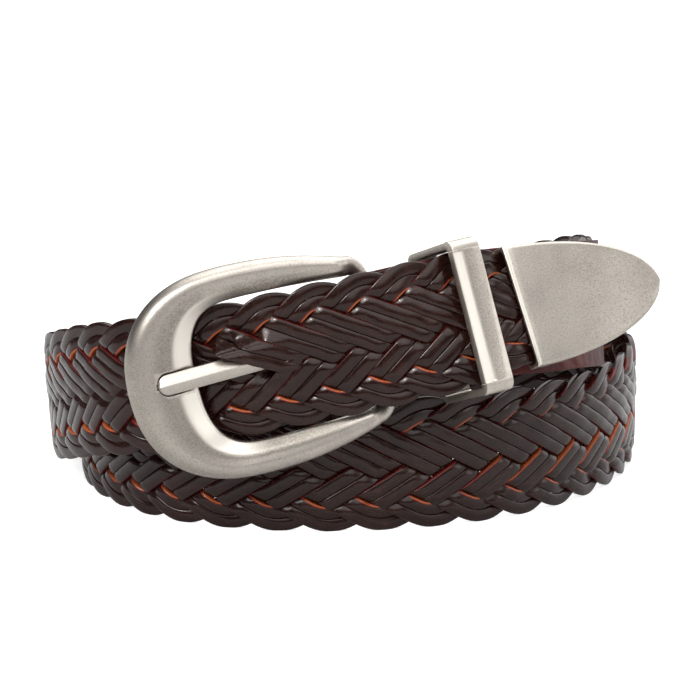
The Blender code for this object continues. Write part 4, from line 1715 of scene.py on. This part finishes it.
@dataclass
class Tip:
    """The pointed metal cap with a fine bead round its mouth."""

    route: Route
    length: float = 34.3 * MM
    half_height: float = 13.5 * MM
    thickness: float = 6.0 * MM
    wall: float = 0.9 * MM
    insert: float = 13.0 * MM
    soft_rim: float = 1.0 * MM
    fullness: float = 2.0
    roundness: float = 0.5
    thinning: float = 0.35
    bead: float = 0.16 * MM
    bead_run: float = 0.75 * MM
    rim_share: float = 0.9
    edge_round: float = 0.12 * MM
    edge_angle: float = 40.0
    corner_steps: int = 5
    inner_steps: int = 4
    mouth_lean: float = 4.0
    # Painted shade on the cap's body.
    painted_shade: float = 0.3
    bead_rises: tuple[Pair, ...] = ((0, 0.6), (0.25, 0.0), (0.75, 0.0), (1.0, 1.3), (1.5, 0.5))
    body_rise: float = 0.4
    body_degrees: tuple[float, ...] = (
        4, 8, 12, 16, 20, 25, 30, 35, 40, 45, 50, 55, 60, 65, 70, 74, 78, 81, 84, 86, 88,
    )  # fmt: skip

    def half_height_at(self, along: float) -> float:
        """The cap's half height this far from its mouth."""
        share = min(max(along / self.length, 0.0), 1.0)
        return self.half_height * (1 - share**self.fullness) ** self.roundness

    def ring(self, along: float, inset: float) -> list[Triple]:
        """One section, a plate with rounded edges.

        Args:
            along: How far it is from the mouth.
            inset: How far it lies inside the outer skin.

        Returns:
            The section's points.
        """
        half_height = max(self.half_height_at(along) - inset, self.soft_rim / 4)
        thin = 1 - self.thinning * float(smoothstep(along, self.insert, self.length))
        half_depth = self.thickness / 2 * thin - inset
        rim = min(self.soft_rim, half_height * self.rim_share, half_depth * self.rim_share)
        side = []
        for i in range(self.corner_steps + 1):
            turned = math.pi / 2 * i / self.corner_steps
            height, depth = half_height - rim + rim * math.cos(turned), half_depth - rim
            side.append((height, depth + rim * math.sin(turned)))
        side.append(((half_height - rim) / 2, half_depth))
        front = side + [(-height, depth) for height, depth in reversed(side)]
        outline = front + [(height, -depth) for height, depth in reversed(front)]
        lean = math.tan(math.radians(self.mouth_lean))
        lean *= 1 - float(smoothstep(along, 0.0, self.length))
        return [(along - height * lean, height, depth) for height, depth in outline]

    def build(self, shop: Workshop, material: Material) -> Thing:
        """Makes the cap.

        Args:
            shop: Makes the pieces.
            material: The metal.

        Returns:
            The cap.
        """
        inside = np.linspace(self.insert, 0.0, self.inner_steps)
        rings = [self.ring(along, self.wall) for along in inside]
        for along, rise in self.bead_rises:
            rings.append(self.ring(along * self.bead_run, self.bead * rise))
        for degrees in self.body_degrees:
            reach = self.length * math.sin(math.radians(degrees))
            rings.append(self.ring(reach, self.bead * self.body_rise))
        skin = np.arange(len(rings))
        bead = (skin >= self.inner_steps) & (skin < self.inner_steps + len(self.bead_rises) - 1)
        body = skin >= self.inner_steps + len(self.bead_rises) - 1
        # Painted light: a painted highlight on the bead at the mouth and painted shade on the body.
        shares = {"painted_highlight": bead * 1.0, "darkened": body * self.painted_shade}
        values = {name: np.repeat(share, len(rings[0])) for name, share in shares.items()}
        made = shop.tube("strap_tip_cast", np.array(rings), values=values)
        made.matrix_world = self.route.place(0.0)
        shop.soften(made, self.edge_round, self.edge_angle, segments=2)
        return shop.hand_over(made, material, Slot.METAL, "strap_tip")


@dataclass
class Tab:
    """The smooth leather tab folded round the bar, with a stitched mouth."""

    route: Route
    leather: float = 1.5 * MM
    width_at_bar: float = 27.0 * MM
    width_at_end: float = 29.0 * MM
    taper_run: float = 9.0 * MM
    slot_run: float = 8.0 * MM
    slot_half: float = 2.8 * MM
    slot_offset: float = 1.3 * MM
    edge_round: float = 0.35 * MM
    edge_angle: float = 40.0
    stitch_pitch: float = 2.9 * MM
    stitch_length: float = 2.1 * MM
    thread: float = 0.38 * MM
    stitch_inset: float = 2.0 * MM
    stitch_sides: int = 8
    stitch_rings: int = 9
    sunk_thread: float = 0.12
    layers: int = 26
    fold_steps: int = 14
    outline: tuple[Pair, ...] = (
        (-1, -1), (-1, 1), (-0.86, 1), (0, 1), (0.86, 1), (1, 1), (1, -1), (0, -1),
    )  # fmt: skip

    def width(self, share: float) -> float:
        """The tab's width this share of the way from its mouth to the bar."""
        return blend(self.width_at_end, self.width_at_bar, share)

    def rings(self) -> np.ndarray:
        """The tab's sections from the outer layer's mouth round the bar to the inner layer's.

        Returns:
            The sections, each a ring of points.
        """
        mouth, bar = self.route.tab_mouth, self.route.length
        settle = self.taper_run / (bar - mouth)
        shares = np.linspace(0.0, 1.0, self.layers)
        turns = [(share, 0.0) for share in shares]
        turns += [(1.0, math.pi * i / self.fold_steps) for i in range(1, self.fold_steps)]
        turns += [(share, math.pi) for share in shares[::-1]]
        half, found = self.leather / 2, []
        for share, turned in turns:
            spread = self.route.fold_radius
            if turned in (0.0, math.pi):
                settled = float(smoothstep(share, 1 - settle, 1.0))
                spread = blend(self.route.tab_offset, spread, settled)
            place = self.route.place(mouth + (bar - mouth) * share)
            out = Vector((-math.sin(turned), 0, math.cos(turned)))
            reach = self.width(share) / 2
            ring = []
            for up, side in self.outline:
                ring.append(place @ (out * (spread + side * half) + Vector((0, up * reach, 0))))
            found.append(ring)
        return np.array(found)

    def stitches(self, shop: Workshop, material: Material) -> Thing:
        """The seam across the tab's mouth, on both layers.

        Args:
            shop: Makes the pieces.
            material: The thread.

        Returns:
            The stitches as one piece.
        """
        mouth = self.route.tab_mouth + self.stitch_inset
        skin = self.route.tab_offset + self.leather / 2
        count = int((self.width_at_end - 2 * self.stitch_inset) / self.stitch_pitch)
        points, faces, rings, sides = [], [], self.stitch_rings, self.stitch_sides
        for side in (1.0, -1.0):
            for i in range(count + 1):
                middle = (i - count / 2) * self.stitch_pitch
                faces += tube_faces(len(points) * sides, rings, sides)
                for j in range(rings):
                    lean = math.pi * (j + 0.5) / rings
                    up = middle - math.cos(lean) * self.stitch_length / 2
                    thick = self.thread / 2 * math.sqrt(math.sin(lean))
                    turned = math.tau * np.arange(sides) / sides
                    sunk = skin - self.thread * self.sunk_thread + np.sin(turned) * thick
                    along = mouth + np.cos(turned) * thick
                    points.append(self.route.spots(along, np.full(sides, up), side * sunk))
        made = shop.raw("tab_stitches", np.concatenate(points), faces)
        return shop.hand_over(made, material, Slot.TAB)

    def build(self, shop: Workshop, seat: Matrix, leather: Material, thread: Material) -> None:
        """Makes the tab, its slot for the prong and its seam.

        Args:
            shop: Makes the pieces.
            seat: The buckle's place.
            leather: The tab's leather.
            thread: The seam's thread.
        """
        made = shop.tube("buckle_tab_leather", self.rings())
        outer = self.route.fold_radius + self.leather
        sides = (self.slot_offset - self.slot_half, self.slot_offset + self.slot_half)
        ends, depths = (-outer, self.slot_run), (-outer, outer)
        corners = [(x, y, z) for x in ends for y in sides for z in depths]
        slot = shop.raw("slot", np.array(corners), BOX_FACES)
        slot.matrix_world = seat
        shop.cut(made, slot)
        shop.soften(made, self.edge_round, self.edge_angle)
        shop.hand_over(made, leather, Slot.TAB, "buckle_tab")
        self.stitches(shop, thread)


@dataclass
class Studio:
    """White floor, soft lights and the camera at the photograph's angle."""

    target: Triple = (1.218 * MM, 0.182 * MM, 30.0 * MM)
    distance: float = 600.0 * MM
    elevation: float = 12.0
    lens: float = 129.6
    sensor: float = 36.0
    nearest: float = 0.01
    floor_half: float = 3.0
    room: float = 0.11
    suns: tuple[tuple[str, Triple, float, float], ...] = (
        ("key_light", (-0.55, -0.60, 0.62), 7.0, 0.55),
        ("top_light", (0.05, -0.10, 1.0), 75.0, 0.60),
        ("side_light", (0.85, -0.35, 0.35), 24.0, 0.20),
    )
    panels: tuple[tuple[Triple, float, float, float], ...] = (
        ((-0.56, -0.58, 0.60), 15.0, 3.0, 7.0),
        ((0.10, 0.40, 0.90), 34.0, 14.0, 2.2),
        ((0.10, -0.74, 0.66), 24.0, 10.0, 1.9),
        ((0.95, -0.30, 0.15), 30.0, 12.0, 0.68),
        ((0.75, 0.62, 0.25), 26.0, 12.0, 1.6),
    )

    def build(self) -> None:
        """Sets camera, lights, world and floor."""
        self._camera()
        self._lights()
        self._floor()

    def _camera(self) -> None:
        """The camera, level with no tilt to the side."""
        turned = math.radians(self.elevation)
        target = Vector(self.target)
        data = bpy.data.cameras.new("camera")
        data.lens, data.sensor_width, data.clip_start = self.lens, self.sensor, self.nearest
        made = stand("camera", data)
        made.location = target + Vector((0, -math.cos(turned), math.sin(turned))) * self.distance
        made.rotation_euler = (math.pi / 2 - turned, 0, 0)
        bpy.context.scene.camera = made

    def _sun(self, name: str, place: Triple, spread: float, strength: float) -> None:
        """One soft light that reaches the whole floor evenly.

        Args:
            name: The light's name.
            place: The direction that it comes from.
            spread: How many degrees it is wide.
            strength: Its strength.
        """
        data = bpy.data.lights.new(name, "SUN")
        data.angle, data.energy = math.radians(spread), strength
        made = stand(name, data)
        made.location = Vector(place)
        made.rotation_euler = Vector(place).to_track_quat("Z", "Y").to_euler()

    def _lights(self) -> None:
        """Suns for the shading and, in a dim room, wide soft panels for the reflections."""
        world = bpy.data.worlds.new("studio")
        world.use_nodes = True
        wiring = Wiring(world.node_tree)
        background = world.node_tree.nodes["Background"]
        where = wiring.node("ShaderNodeTexCoord").outputs["Generated"]
        level = self.room
        for place, wide, soft, strength in self.panels:
            facing = wiring.node("ShaderNodeVectorMath", operation="DOT_PRODUCT")
            wiring.filled(facing, {0: where, 1: tuple(Vector(place).normalized())})
            edge = (math.cos(math.radians(wide + soft)), math.cos(math.radians(wide - soft)))
            panel = wiring.span(facing.outputs["Value"], edge, (0.0, strength))
            level = wiring.plus(panel, level)
        wiring.filled(background, {"Color": (1.0, 1.0, 1.0), "Strength": level})
        bpy.context.scene.world = world
        bpy.context.scene.view_settings.view_transform = "Standard"
        for name, place, spread, strength in self.suns:
            self._sun(name, place, spread, strength)

    def _floor(self) -> None:
        """The floor as one wide plate."""
        half = self.floor_half
        mesh = bpy.data.meshes.new("floor")
        corners = [(-half, -half, 0), (half, -half, 0), (half, half, 0), (-half, half, 0)]
        mesh.from_pydata(corners, [], [(0, 1, 2, 3)])
        mesh.materials.append(PaleFloor("studio_white").build())
        stand("floor", mesh)


def main() -> None:
    """Builds the studio and every piece in order."""
    logging.basicConfig(level=logging.INFO, format="%(name)s %(message)s")
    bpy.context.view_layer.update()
    effects, shop = Effects(), Workshop()
    Studio().build()
    route, prong = Route(), Prong()
    seat = route.place(route.length) @ Matrix.Rotation(math.radians(BUCKLE_SWING), 4, "Y")
    seat = seat @ Matrix.Rotation(math.radians(BUCKLE_SAG), 4, "Z")
    nickel = AntiqueNickel("antique_nickel").build(effects)
    strips = StripLeather("strip_leather").build(effects)
    Braid(route).build(shop, strips, Passage(route, seat, prong))
    leather, thread = SmoothLeather("tab_leather"), Thread("tab_thread")
    Tab(route).build(shop, seat, leather.build(effects), thread.build(effects))
    Frame().build(shop, seat, prong, nickel)
    prong.build(shop, seat, nickel)
    Keeper(route).build(shop, nickel)
    Tip(route).build(shop, nickel)


if __name__ == "__main__":
    main()
